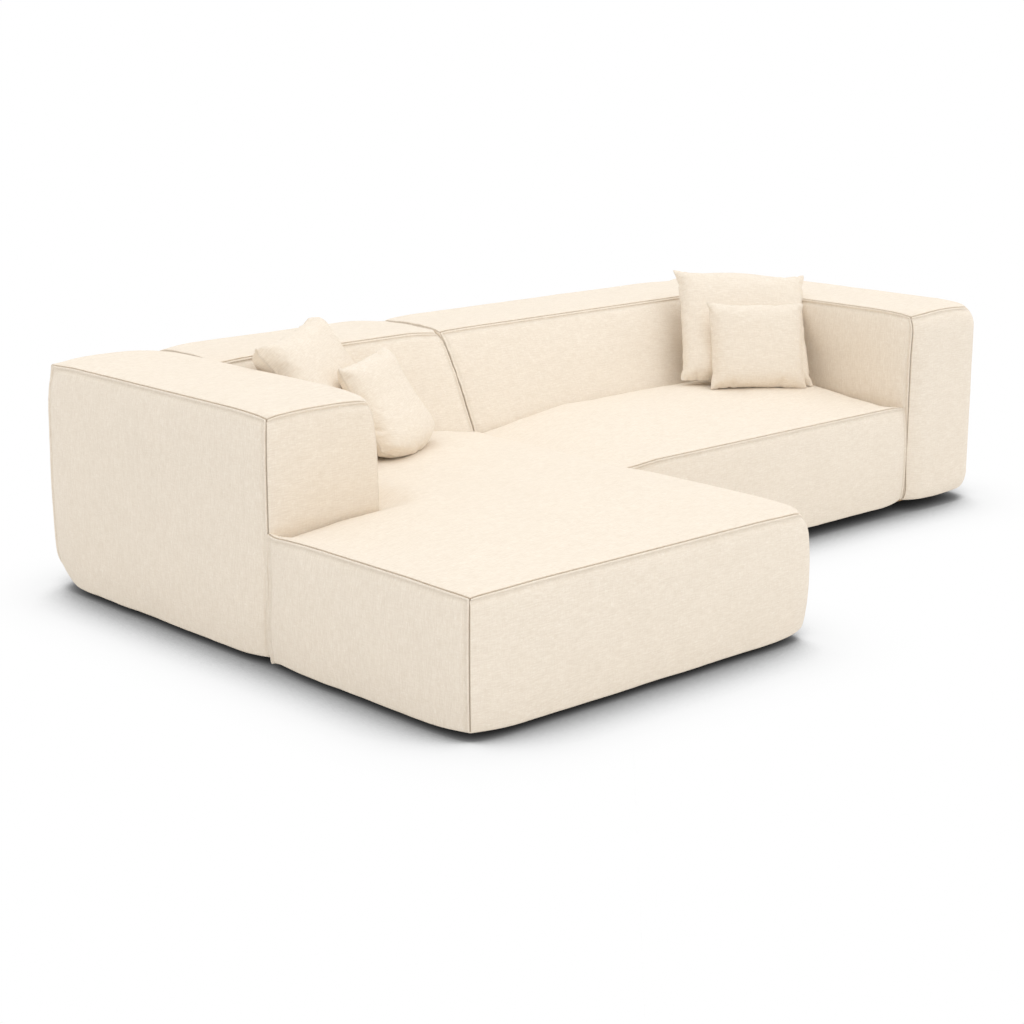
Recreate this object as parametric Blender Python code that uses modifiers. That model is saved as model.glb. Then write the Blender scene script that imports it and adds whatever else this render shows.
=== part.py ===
"""An L-shaped modular sofa: a chaise module on the left, a seat module on the right, four cushions.

Lengths are metres and Z is up. Every size is worked out in sofa coordinates: X runs right from the
sofa's left side, Y is 0 at its rear and negative towards the front, Z is 0 on the floor. The empty
"sofa" moves those to the finished frame, whose origin is the middle of the sofa's footprint.
"""

import math

import bmesh
import bpy
from mathutils import Matrix, Vector
from mathutils.bvhtree import BVHTree

# Overall sizes, between the drawn-in corners of the upholstered blocks
CHAISE_WIDTH = 1.273
RIGHT_WIDTH = 1.756
SOFA_WIDTH = CHAISE_WIDTH + RIGHT_WIDTH
CHAISE_DEPTH = 1.891
SEAT_DEPTH = 1.165
BACK_HEIGHT = 0.700
SEAT_HEIGHT = 0.378
FLOOR_GAP = 0.025
LEFT_ARM_WIDTH = 0.366
LEFT_ARM_LENGTH = 1.074
RIGHT_ARM_WIDTH = 0.329
BACK_TOP_DEPTH = 0.304
BACK_FOOT_DEPTH = 0.464

# Upholstery
SIDE_CROWN = 0.015  # an edge's middle stands this far past its corners, and a face's middle twice as far
TOP_CROWN = 0.012
SEAT_FULLNESS = 1.9  # a seat's middle stands this many top crowns above the sum of its two edges
BOTTOM_CROWN = 0.008
CORNER_REACH = 0.160  # length over which a face or an edge is drawn in towards a corner
CROWN_DEPTH = 0.300  # how far inside a block its swelling side still moves the padding
COVER = 0.0025
SKIN = 0.010  # a back's outer layer, which keeps its thickness where the front leans
TUCK_DEPTH = 0.100  # how far a cover goes down between two blocks, below the seat's edge
SIDE_PAD = 0.032  # cover and foam outside the frame
TOP_PAD = 0.050
HIDDEN_PAD = 0.004  # where two blocks of a module are bolted together, with no foam between
FIT = 0.0006  # clearance between pieces that lie against each other
SEAT_FIT = 0.0003  # clearance under a piece that stands on another
BLOCK_GAP = 0.0006
MODULE_GAP = 0.008
SEAT_CLEARANCE = 0.002  # between a seat's highest point and where the walls round it begin to swell
OVERCUT = 0.010  # how far a cutter reaches past what it cuts
FACE_STEP = 0.5  # longest stretch of a face left undivided
CORNER_STOP = 0.35  # where the drawn-in stretch is divided, as a share of it

# Frame
RAIL_THICKNESS = 0.025
RAIL_HEIGHT = 0.120
CENTRE_RAIL_WIDTH = 0.070
PANEL = 0.015
DUST_COVER = 0.0015
FOOT_HEIGHT = 0.024
FOOT_RADIUS = 0.025
FOOT_TAPER = 0.003
FOOT_INSET = 0.045
FOOT_SIDES = 20
SHARP = math.radians(40)
WEBBING = 0.003
STRAP_WIDTH = 0.070
STRAP_GAP = 0.110

# Connectors: a pin on the chaise module stands in a collar under the seat module
CONNECTOR_FROM_REAR = 0.330
CONNECTOR_FROM_FRONT = 0.265
CONNECTOR_WIDTH = 0.044
CONNECTOR_PLATE = 0.003
CONNECTOR_FLANGE = 0.060
CONNECTOR_DROP = 0.0115
CONNECTOR_REACH = 0.036
PIN_RADIUS = 0.005
PIN_CLEARANCE = 0.0004
PIN_LENGTH = 0.011
COLLAR_WALL = 0.0045
PIN_SIDES = 20

# Cushions: width, height and half thickness as filled, and how they lie
LARGE_CUSHION = (0.480, 0.455, 0.058)
SMALL_CUSHION = (0.366, 0.320, 0.046)
CUSHION_COVER = 0.0025
CUSHION_DRAW = 0.055  # share of the half width by which a side is drawn in midway
CUSHION_EDGE = 0.010  # the cover's two panels are sewn together over this width
CUSHION_ROUND = (2.4, 0.60)
LARGE_GRID = 10
SMALL_GRID = 8
ZIP_SHARE = 0.55
ZIP_SLIT = 0.003
REST_GAP = 0.0006
SETTLING_STEP = 0.012
SETTLING_ROUNDS = 3
# Size, grid, (x, y) of the lower edge from the corner of arm and back, then facing, lean and roll in
# degrees
CUSHIONS = {
    "right_large": (LARGE_CUSHION, LARGE_GRID, (-0.346, -0.256), 235.7, 38.0, -4.1),
    "right_small": (SMALL_CUSHION, SMALL_GRID, (-0.397, -0.396), 237.6, 18.1, 0.6),
    "left_large": (LARGE_CUSHION, LARGE_GRID, (0.406, -0.236), 300.6, 38.4, 2.9),
    "left_small": (SMALL_CUSHION, SMALL_GRID, (0.551, -0.396), 296.1, 28.9, 2.4),
}
PUSH = 0.60  # how far a settling cushion may travel
START_HEIGHT = 0.150
START_OUT = 0.140  # how far in front of its place a cushion starts to settle

# Heights that follow from the sizes above
DUST_BOTTOM = FOOT_HEIGHT + SEAT_FIT
RAIL_BOTTOM = DUST_BOTTOM + DUST_COVER + SEAT_FIT
RAIL_TOP = RAIL_BOTTOM + RAIL_HEIGHT
BASE_TOP = RAIL_TOP + WEBBING + 2 * SEAT_FIT
TUCK = SEAT_HEIGHT - TUCK_DEPTH
ABOVE_SEAT = SEAT_HEIGHT + (2 + SEAT_FULLNESS) * TOP_CROWN + SEAT_CLEARANCE
FRAME_TOP = BACK_HEIGHT - TOP_PAD
CHAISE_RIGHT = CHAISE_WIDTH - MODULE_GAP / 2
SEAT_LEFT = CHAISE_WIDTH + MODULE_GAP / 2
RIGHT_ARM_LEFT = SOFA_WIDTH - RIGHT_ARM_WIDTH
X, Y, Z = range(3)


def clear_scene():
    for obj in list(bpy.data.objects):
        bpy.data.objects.remove(obj, do_unlink=True)


def collection(name):
    made = bpy.data.collections.new(name)
    bpy.context.scene.collection.children.link(made)
    return made


def material(name, colour, roughness, metallic=0.0):
    made = bpy.data.materials.new(name)
    made.use_nodes = True
    shader = made.node_tree.nodes["Principled BSDF"]
    shader.inputs["Base Color"].default_value = (*colour, 1.0)
    shader.inputs["Roughness"].default_value = roughness
    shader.inputs["Metallic"].default_value = metallic
    return made


def add(name, bm, finish, parent, group):
    """A new object from a bmesh in sofa coordinates, with its origin at the middle of its box."""
    corners = [vert.co for vert in bm.verts]
    middle = Vector([(min(c[i] for c in corners) + max(c[i] for c in corners)) / 2 for i in range(3)])
    bmesh.ops.translate(bm, verts=bm.verts, vec=-middle)
    mesh = bpy.data.meshes.new(name)
    bm.to_mesh(mesh)
    bm.free()
    obj = bpy.data.objects.new(name, mesh)
    group.objects.link(obj)
    if finish:
        mesh.materials.append(finish)
    obj.parent = parent
    obj.location = middle
    return obj


def box(low, high):
    bm = bmesh.new()
    bmesh.ops.create_cube(bm, size=1.0)
    low, high = Vector(low), Vector(high)
    bmesh.ops.scale(bm, verts=bm.verts, vec=high - low)
    bmesh.ops.translate(bm, verts=bm.verts, vec=(low + high) / 2)
    return bm


def prism(outline, start, end, axis):
    """A flat outline in the two other axes, drawn out along the axis from start to end."""
    others = [i for i in (X, Y, Z) if i != axis]
    bm = bmesh.new()
    corners = []
    for point in outline:
        place = [start, start, start]
        place[others[0]], place[others[1]] = point
        corners.append(bm.verts.new(place))
    face = bm.faces.new(corners)
    moved = bmesh.ops.extrude_face_region(bm, geom=[face])["geom"]
    along = Vector([end - start if i == axis else 0.0 for i in range(3)])
    bmesh.ops.translate(bm, verts=[g for g in moved if isinstance(g, bmesh.types.BMVert)], vec=along)
    bmesh.ops.recalc_face_normals(bm, faces=bm.faces)
    return bm


def boolean(obj, tool, operation="DIFFERENCE"):
    tool.hide_render = True
    tool.display_type = "WIRE"
    cut = obj.modifiers.new(tool.name, "BOOLEAN")
    cut.operation = operation
    cut.object = tool


def rise(distance, reach):
    """0 at a drawn-in corner, 1 from one reach away."""
    share = min(max(distance / reach, 0.0), 1.0)
    return 1 - (1 - share) ** 2


def free(a, b, held=(), fullness=0.0):
    """A side that may swell: (axis, low, high) twice, and the (axis, level, sign) where it is held flat."""
    return {"spans": (a, b), "held": held, "fullness": fullness}


def swelling(side, crown, point):
    """How far the padding pushes this side out: nothing at its corners, most in its middle."""
    if side is None:
        return 0.0
    rises = []
    for axis, low, high in side["spans"]:
        reach = min(CORNER_REACH, (high - low) / 2)
        rises.append(rise(min(point[axis] - low, high - point[axis]), reach))
    total = sum(rises) + side["fullness"] * math.prod(rises)
    for axis, level, sign in side["held"]:
        total *= rise(sign * (point[axis] - level), CORNER_REACH)
    return crown * total


def stops(low, high):
    """Where a face is divided: closely near its ends, where it is drawn in."""
    reach = min(CORNER_REACH, (high - low) / 2)
    middles = max(1, round((high - low - 2 * reach) / FACE_STEP))
    places = [low + reach * share for share in (0.0, CORNER_STOP, 1.0)]
    places += [low + reach + (high - low - 2 * reach) * i / middles for i in range(1, middles)]
    places += [high - reach * share for share in (1.0, CORNER_STOP, 0.0)]
    return sorted(set(round(place, 5) for place in places))


class Block:
    """One upholstered block: its outline in plan, its heights, and the sides that swell."""

    def __init__(self, outline, top, sides, hidden=(), foot_depth=None, top_depth=None):
        self.outline = outline
        self.low = (min(p[0] for p in outline), min(p[1] for p in outline), FLOOR_GAP)
        self.high = (max(p[0] for p in outline), max(p[1] for p in outline), top)
        self.sides = sides
        self.hidden = hidden
        self.depths = (foot_depth, top_depth)

    def raked(self, point):
        """A back's front leans away above the seat, so each point moves back by its share."""
        foot, top = self.depths
        if foot is None:
            return point.copy()
        climb = min(max((point.z - SEAT_HEIGHT) / (BACK_HEIGHT - SEAT_HEIGHT), 0.0), 1.0)
        share = min(max((-point.y - SKIN) / (foot - 2 * SKIN), 0.0), 1.0)
        return Vector((point.x, point.y + (foot - top) * climb * share, point.z))

    def crowned(self, point):
        moved = self.raked(point)
        crowns = {"left": SIDE_CROWN, "right": SIDE_CROWN, "front": SIDE_CROWN, "rear": SIDE_CROWN,
                  "top": TOP_CROWN, "bottom": BOTTOM_CROWN}
        for axis, low_side, high_side in ((X, "left", "right"), (Y, "front", "rear"), (Z, "bottom", "top")):
            depth = self.high[axis] - self.low[axis]
            depth = depth if axis == Z else min(depth, CROWN_DEPTH)
            from_low = max(1 - (point[axis] - self.low[axis]) / depth, 0.0)
            from_high = max(1 - (self.high[axis] - point[axis]) / depth, 0.0)
            moved[axis] -= from_low * swelling(self.sides.get(low_side), crowns[low_side], point)
            moved[axis] += from_high * swelling(self.sides.get(high_side), crowns[high_side], point)
        return moved

    def drawn_in(self, point, layer):
        """Where a point of the outer form lies when the sides and the top are a layer further in."""
        foot, top = self.depths
        if foot:
            layer *= math.hypot(1.0, (foot - top) / (BACK_HEIGHT - SEAT_HEIGHT))
        moved = point.copy()
        for axis in (X, Y, Z):
            if axis != Z and point[axis] - self.low[axis] < FIT:
                moved[axis] += layer
            elif self.high[axis] - point[axis] < FIT:
                moved[axis] -= layer
        for x, y in self.outline[4:5]:
            if abs(point.x - x) < FIT and point.y > y - FIT:
                moved.x += layer
            if abs(point.y - y) < FIT and point.x < x + FIT:
                moved.y -= layer
        return moved

    def form(self):
        """The block's outer form before it is crowned, divided where it bends."""
        bm = prism(self.outline, self.low[Z], self.high[Z], Z)
        places = [stops(self.low[i], self.high[i]) for i in (X, Y, Z)]
        places[Z] += [TUCK, SEAT_HEIGHT] if self.depths[0] else [TUCK]
        for side in self.sides.values():
            for axis, level, _ in side["held"]:
                places[axis].append(level)
        for corner in self.outline[4:5]:
            places[X].append(corner[X])
            places[Y].append(corner[Y])
        for axis, cuts in enumerate(places):
            along = Vector([1.0 if i == axis else 0.0 for i in range(3)])
            for place in sorted(set(cuts))[1:-1]:
                everything = bm.verts[:] + bm.edges[:] + bm.faces[:]
                bmesh.ops.bisect_plane(bm, geom=everything, dist=FIT / 2, plane_co=along * place,
                                       plane_no=along)
        bmesh.ops.triangulate(bm, faces=bm.faces, quad_method="FIXED")
        bm.normal_update()
        return bm

    def foam(self):
        """The closed form inside the cover."""
        bm = self.form()
        for vert in bm.verts:
            vert.co = self.crowned(self.drawn_in(vert.co, COVER + FIT))
        return bm

    def cover(self):
        """The open cover: no bottom, and its hidden walls end a tuck below the seat's edge."""
        flat = self.form()
        kept = [face for face in flat.faces if not self.is_open(face)]
        bm = bmesh.new()
        outside, inside, rims = {}, {}, []
        for face in kept:
            for vert in face.verts:
                if vert not in outside:
                    outside[vert] = bm.verts.new(self.crowned(vert.co))
                    inside[vert] = bm.verts.new(self.crowned(self.drawn_in(vert.co, COVER)))
            bm.faces.new([outside[vert] for vert in face.verts])
            bm.faces.new([inside[vert] for vert in reversed(face.verts)])
            for loop in face.loops:
                if not any(other in kept for other in loop.edge.link_faces if other != face):
                    rims.append((loop.vert, loop.link_loop_next.vert))
        for start, end in rims:
            bm.faces.new([outside[end], outside[start], inside[start]])
            bm.faces.new([outside[end], inside[start], inside[end]])
        flat.free()
        return bm

    def is_open(self, face):
        """Whether the cover has no fabric here."""
        if face.normal.z < -0.5:
            return True
        return abs(face.normal.z) < 0.5 and face.calc_center_median().z < TUCK and self.is_hidden(face)

    def is_hidden(self, face):
        normal, centre = face.normal, face.calc_center_median()
        sides = {"left": normal.x < -0.5, "right": normal.x > 0.5,
                 "front": normal.y < -0.5, "rear": normal.y > 0.5}
        side = next(name for name, match in sides.items() if match)
        limits = {"left": self.low[X], "right": self.high[X], "front": self.low[Y], "rear": self.high[Y]}
        on_limit = abs(centre[X if side in ("left", "right") else Y] - limits[side]) < COVER
        return side in self.hidden or not on_limit


def rectangle(x0, x1, y0, y1):
    return [(x0, y0), (x1, y0), (x1, y1), (x0, y1)]


def blocks():
    """The six upholstered blocks, each with its shape in plan and its free sides."""
    back_left = LEFT_ARM_WIDTH + BLOCK_GAP
    back_right = RIGHT_ARM_LEFT - BLOCK_GAP
    seat_rear = -BACK_FOOT_DEPTH - BLOCK_GAP
    arm_front = -LEFT_ARM_LENGTH - BLOCK_GAP
    tall = (Z, FLOOR_GAP, BACK_HEIGHT)
    low = (Z, FLOOR_GAP, SEAT_HEIGHT)
    upper = (Z, ABOVE_SEAT, BACK_HEIGHT)
    rest = ((Z, ABOVE_SEAT, 1),)
    beside_back = ((Z, ABOVE_SEAT, 1), (Y, -BACK_FOOT_DEPTH, -1))

    def flat(x0, x1, y0, y1):
        return free((X, x0, x1), (Y, y0, y1))

    def seat_top(x0, x1, y0):
        return free((X, x0, x1), (Y, y0, seat_rear + CORNER_REACH), fullness=SEAT_FULLNESS)

    def back(x0, x1, hidden):
        across, deep = (X, x0, x1), (Y, -BACK_FOOT_DEPTH, 0.0)
        sides = {"top": free(across, deep), "bottom": free(across, deep), "rear": free(across, tall),
                 "front": free(across, upper, rest)}
        outline = rectangle(x0, x1, -BACK_FOOT_DEPTH, 0.0)
        return Block(outline, BACK_HEIGHT, sides, ("front", hidden), BACK_FOOT_DEPTH, BACK_TOP_DEPTH)

    left_arm = Block(
        rectangle(0.0, LEFT_ARM_WIDTH, -LEFT_ARM_LENGTH, 0.0), BACK_HEIGHT,
        {"left": free((Y, -LEFT_ARM_LENGTH, 0.0), tall),
         "right": free((Y, -LEFT_ARM_LENGTH, -BACK_FOOT_DEPTH), upper, beside_back),
         "front": free((X, 0.0, LEFT_ARM_WIDTH), upper, rest),
         "rear": free((X, 0.0, LEFT_ARM_WIDTH), tall),
         "top": flat(0.0, LEFT_ARM_WIDTH, -LEFT_ARM_LENGTH, 0.0),
         "bottom": flat(0.0, LEFT_ARM_WIDTH, -LEFT_ARM_LENGTH, 0.0)},
        ("right", "front"))
    chaise_seat = Block(
        [(0.0, -CHAISE_DEPTH), (CHAISE_RIGHT, -CHAISE_DEPTH), (CHAISE_RIGHT, seat_rear),
         (back_left, seat_rear), (back_left, arm_front), (0.0, arm_front)], SEAT_HEIGHT,
        {"left": free((Y, -CHAISE_DEPTH, arm_front), low),
         "right": free((Y, -CHAISE_DEPTH, -SEAT_DEPTH), low, ((Y, -SEAT_DEPTH, -1),)),
         "front": free((X, 0.0, CHAISE_RIGHT), low),
         "top": seat_top(0.0, CHAISE_RIGHT, -CHAISE_DEPTH),
         "bottom": flat(0.0, CHAISE_RIGHT, -CHAISE_DEPTH, seat_rear)},
        ("rear",))
    right_seat = Block(
        rectangle(SEAT_LEFT, back_right, -SEAT_DEPTH, seat_rear), SEAT_HEIGHT,
        {"front": free((X, SEAT_LEFT, back_right), low),
         "top": seat_top(SEAT_LEFT, back_right, -SEAT_DEPTH),
         "bottom": flat(SEAT_LEFT, back_right, -SEAT_DEPTH, seat_rear)},
        ("right", "rear"))
    right_arm = Block(
        rectangle(RIGHT_ARM_LEFT, SOFA_WIDTH, -SEAT_DEPTH, 0.0), BACK_HEIGHT,
        {"left": free((Y, -SEAT_DEPTH, -BACK_FOOT_DEPTH), upper, beside_back),
         "right": free((Y, -SEAT_DEPTH, 0.0), tall),
         "front": free((X, RIGHT_ARM_LEFT, SOFA_WIDTH), tall),
         "rear": free((X, RIGHT_ARM_LEFT, SOFA_WIDTH), tall),
         "top": flat(RIGHT_ARM_LEFT, SOFA_WIDTH, -SEAT_DEPTH, 0.0),
         "bottom": flat(RIGHT_ARM_LEFT, SOFA_WIDTH, -SEAT_DEPTH, 0.0)},
        ("left",))
    return {
        "left_arm": left_arm,
        "left_back": back(back_left, CHAISE_RIGHT, "left"),
        "chaise_seat": chaise_seat,
        "right_arm": right_arm,
        "right_back": back(SEAT_LEFT, back_right, "right"),
        "right_seat": right_seat,
    }


class Module:
    """A module's wooden base: the rectangle inside its padding, in plan."""

    def __init__(self, x0, x1, depth):
        self.x0, self.x1 = x0 + SIDE_PAD, x1 - SIDE_PAD
        self.y0, self.y1 = -depth + SIDE_PAD, -SIDE_PAD

    def zone(self):
        return box((self.x0, self.y0, -OVERCUT), (self.x1, self.y1, BASE_TOP))


def upholster(name, block, cavity, zone, parent, kit):
    """The block's cover, and its foam with the frame's space cut out of it."""
    cover = add(name + "_cover", block.cover(), kit["fabric"], parent, kit["parts"])
    foam = add(name + "_foam", block.foam(), kit["foam"], parent, kit["parts"])
    boolean(foam, zone)
    if cavity is not None:
        boolean(foam, add(name + "_cavity", cavity, None, parent, kit["cutters"]))
    return cover


def arm_space(x0, x1, y0, y1):
    """The space inside an arm's foam, in which its frame stands."""
    low = (x0 + SIDE_PAD, y0 + SIDE_PAD, BASE_TOP - OVERCUT)
    high = (x1 - SIDE_PAD, y1 - SIDE_PAD, FRAME_TOP + FIT)
    return low, high


def arm_frame(name, space, parent, kit, outer_first):
    """Two upright panels along the arm and a board across their tops."""
    low, high = space
    x0, x1, y0, y1 = low[X] + FIT, high[X] - FIT, low[Y] + FIT, high[Y] - FIT
    under = FRAME_TOP - PANEL - SEAT_FIT
    first, second = ("outer", "inner") if outer_first else ("inner", "outer")
    foot = RAIL_TOP + SEAT_FIT
    places = {first + "_panel": ((x0, y0, foot), (x0 + PANEL, y1, under)),
              second + "_panel": ((x1 - PANEL, y0, foot), (x1, y1, under)),
              "top_board": ((x0, y0, FRAME_TOP - PANEL), (x1, y1, FRAME_TOP))}
    for part, (start, end) in places.items():
        add(f"{name}_{part}", box(start, end), kit["plywood"], parent, kit["parts"])


def back_profile():
    """The space inside a back's foam, seen from the side: upright behind, leaning in front."""
    floor = BASE_TOP - OVERCUT
    return [(-SIDE_PAD, floor), (-SIDE_PAD, FRAME_TOP + FIT),
            (-BACK_TOP_DEPTH + SIDE_PAD, FRAME_TOP + FIT), (-BACK_FOOT_DEPTH + SIDE_PAD, floor)]


def back_frame(name, x0, x1, parent, kit):
    """An upright rear panel, a leaning front panel and a board across their tops."""
    foot, under = RAIL_TOP + SEAT_FIT, FRAME_TOP - PANEL - SEAT_FIT
    _, _, top_front, foot_front = [Vector(p) for p in back_profile()]
    slope = (top_front - foot_front) / (top_front.y - foot_front.y)
    at_foot = foot_front + slope * (foot - foot_front.y)
    at_top = foot_front + slope * (under - foot_front.y)
    reach = PANEL * math.hypot(1.0, slope.x)
    lean = [(at_foot.x + FIT, foot), (at_foot.x + FIT + reach, foot),
            (at_top.x + FIT + reach, under), (at_top.x + FIT, under)]
    rear = -SIDE_PAD - FIT
    x0, x1 = x0 + FIT, x1 - FIT
    add(name + "_rear_panel", box((x0, rear - PANEL, foot), (x1, rear, under)),
        kit["plywood"], parent, kit["parts"])
    add(name + "_front_panel", prism(lean, x0, x1, X), kit["plywood"], parent, kit["parts"])
    add(name + "_top_board",
        box((x0, -BACK_TOP_DEPTH + SIDE_PAD + FIT, FRAME_TOP - PANEL), (x1, rear, FRAME_TOP)),
        kit["plywood"], parent, kit["parts"])


def base_frame(name, module, centre, parent, kit):
    """Four rails round the base and one down it, with the dust cover stapled under them."""
    x0, x1, y0, y1 = module.x0 + FIT, module.x1 - FIT, module.y0 + FIT, module.y1 - FIT
    inner0, inner1 = y0 + RAIL_THICKNESS + SEAT_FIT, y1 - RAIL_THICKNESS - SEAT_FIT
    places = {"front_rail": (x0, x1, y0, y0 + RAIL_THICKNESS),
              "rear_rail": (x0, x1, y1 - RAIL_THICKNESS, y1),
              "left_rail": (x0, x0 + RAIL_THICKNESS, inner0, inner1),
              "right_rail": (x1 - RAIL_THICKNESS, x1, inner0, inner1),
              "centre_rail": (centre, centre + CENTRE_RAIL_WIDTH, inner0, inner1)}
    for part, (rx0, rx1, ry0, ry1) in places.items():
        add(f"{name}_{part}", box((rx0, ry0, RAIL_BOTTOM), (rx1, ry1, RAIL_TOP)),
            kit["timber"], parent, kit["parts"])
    add(name + "_dust_cover", box((x0, y0, DUST_BOTTOM), (x1, y1, DUST_BOTTOM + DUST_COVER)),
        kit["lining"], parent, kit["parts"])


def webbing(name, outline, parent, kit):
    """Elastic straps woven both ways, as one flat lattice that lies on the rails."""
    low = RAIL_TOP + SEAT_FIT
    sheet = prism(outline, low, low + WEBBING, Z)
    lattice = add(name + "_webbing", sheet, kit["webbing"], parent, kit["parts"])
    x0, x1 = min(p[0] for p in outline), max(p[0] for p in outline)
    y0, y1 = min(p[1] for p in outline), max(p[1] for p in outline)
    notch = outline[4] if len(outline) > 4 else (x0, y1)
    holes = bmesh.new()
    pitch = STRAP_WIDTH + STRAP_GAP
    columns = int((x1 - x0 - STRAP_WIDTH) / pitch)
    rows = int((y1 - y0 - STRAP_WIDTH) / pitch)
    step_x = (x1 - x0 - STRAP_WIDTH) / columns
    step_y = (y1 - y0 - STRAP_WIDTH) / rows
    for i in range(columns):
        for j in range(rows):
            hole_x = x0 + STRAP_WIDTH + i * step_x
            hole_y = y0 + STRAP_WIDTH + j * step_y
            far_y = hole_y + step_y - STRAP_WIDTH
            if hole_x < notch[0] + STRAP_WIDTH and far_y > notch[1] - STRAP_WIDTH:
                continue
            place = Matrix.Translation((hole_x + (step_x - STRAP_WIDTH) / 2, (hole_y + far_y) / 2, low))
            size = Matrix.Diagonal((step_x - STRAP_WIDTH, step_y - STRAP_WIDTH, OVERCUT, 1.0))
            bmesh.ops.create_cube(holes, size=1.0, matrix=place @ size)
    boolean(lattice, add(name + "_webbing_gaps", holes, None, parent, kit["cutters"]))


def foot(name, x, y, parent, kit):
    bm = bmesh.new()
    bmesh.ops.create_cone(bm, cap_ends=True, segments=FOOT_SIDES, radius1=FOOT_RADIUS - FOOT_TAPER,
                          radius2=FOOT_RADIUS, depth=FOOT_HEIGHT)
    bmesh.ops.translate(bm, verts=bm.verts, vec=(x, y, FOOT_HEIGHT / 2))
    made = add(name, bm, kit["plastic"], parent, kit["parts"])
    made.data.shade_smooth()
    made.data.set_sharp_from_angle(angle=SHARP)


def feet(name, module, centres, parent, kit):
    near, far = module.y0 + FOOT_INSET, module.y1 - FOOT_INSET
    left, right = module.x0 + FOOT_INSET, module.x1 - FOOT_INSET
    spots = [(left, near), (right, near), (left, far), (right, far), *centres]
    for number, (x, y) in enumerate(spots, 1):
        foot(f"{name}_foot_{number}", x, y, parent, kit)


def round_bar(x, y, z0, z1, radius):
    bm = bmesh.new()
    bmesh.ops.create_cone(bm, cap_ends=True, segments=PIN_SIDES, radius1=radius, radius2=radius,
                          depth=z1 - z0)
    bmesh.ops.translate(bm, verts=bm.verts, vec=(x, y, (z0 + z1) / 2))
    return bm


def connectors(chaise, seat, root, right_module, kit):
    """Steel brackets screwed up under the facing rails. Lifting the seat module frees the pins."""
    top = DUST_BOTTOM - SEAT_FIT
    under = top - CONNECTOR_PLATE
    tongue_top = top - CONNECTOR_DROP
    tongue_low = tongue_top - CONNECTOR_PLATE
    step = chaise.x1 - 2 * CONNECTOR_PLATE
    pin_x = seat.x0 + CONNECTOR_REACH - 2 * PIN_RADIUS
    for number, y in enumerate((-CONNECTOR_FROM_REAR, -SEAT_DEPTH + CONNECTOR_FROM_FRONT), 1):
        y0, y1 = y - CONNECTOR_WIDTH / 2, y + CONNECTOR_WIDTH / 2
        bent = [(step - CONNECTOR_FLANGE, top), (step - CONNECTOR_FLANGE, under), (step, under),
                (step, tongue_low), (seat.x0 + CONNECTOR_REACH, tongue_low),
                (seat.x0 + CONNECTOR_REACH, tongue_top), (step + CONNECTOR_PLATE, tongue_top),
                (step + CONNECTOR_PLATE, top)]
        plate = add(f"connector_pin_{number}", prism(bent, y0, y1, Y), kit["steel"], root, kit["parts"])
        pin = round_bar(pin_x, y, tongue_low + CONNECTOR_PLATE / 2, tongue_top + PIN_LENGTH, PIN_RADIUS)
        boolean(plate, add(f"connector_pin_{number}_post", pin, None, root, kit["cutters"]), "UNION")
        flange = box((seat.x0 + SEAT_FIT, y0, under), (seat.x0 + CONNECTOR_FLANGE, y1, top))
        eye = add(f"connector_eye_{number}", flange, kit["steel"], right_module, kit["parts"])
        collar = round_bar(pin_x, y, tongue_top + FIT, under + CONNECTOR_PLATE / 2,
                           PIN_RADIUS + PIN_CLEARANCE + COLLAR_WALL)
        ring = add(f"connector_eye_{number}_collar", collar, None, right_module, kit["cutters"])
        boolean(eye, ring, "UNION")
        bore = round_bar(pin_x, y, tongue_low, top + CONNECTOR_PLATE, PIN_RADIUS + PIN_CLEARANCE)
        boolean(eye, add(f"connector_eye_{number}_bore", bore, None, right_module, kit["cutters"]))


def pillow(size, divisions, drawn):
    """Half of a filled cushion, open at its seam, which a Mirror completes. Its lower edge is at y 0."""
    width, height, thickness = size
    power, fullness = CUSHION_ROUND
    bm = bmesh.new()
    bmesh.ops.create_grid(bm, x_segments=divisions, y_segments=divisions, size=1.0)
    for face in bm.faces[:]:
        outward = sorted(face.verts, key=lambda vert: abs(vert.co.x) + abs(vert.co.y))
        bmesh.utils.face_split(face, outward[0], outward[-1])
    for vert in bm.verts:
        u, v = (math.sin(math.pi / 2 * c) for c in vert.co[:2])
        full = max(0.0, (1 - abs(u) ** power) * (1 - abs(v) ** power)) ** fullness
        across = u * (1 - drawn * (1 - v * v))
        along = v * (1 - drawn * (1 - u * u))
        vert.co = (across * width / 2, (along + 1) * height / 2, thickness * full)
    return bm


def mirrored_pillow(name, size, divisions, finish, parent, group):
    bm = pillow(size, divisions, CUSHION_DRAW)
    mesh = bpy.data.meshes.new(name)
    bm.to_mesh(mesh)
    bm.free()
    mesh.shade_smooth()
    obj = bpy.data.objects.new(name, mesh)
    group.objects.link(obj)
    if finish:
        mesh.materials.append(finish)
    obj.parent = parent
    both = obj.modifiers.new("Both panels", "MIRROR")
    both.use_axis = (False, False, True)
    both.merge_threshold = 0.0001
    return obj


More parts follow.
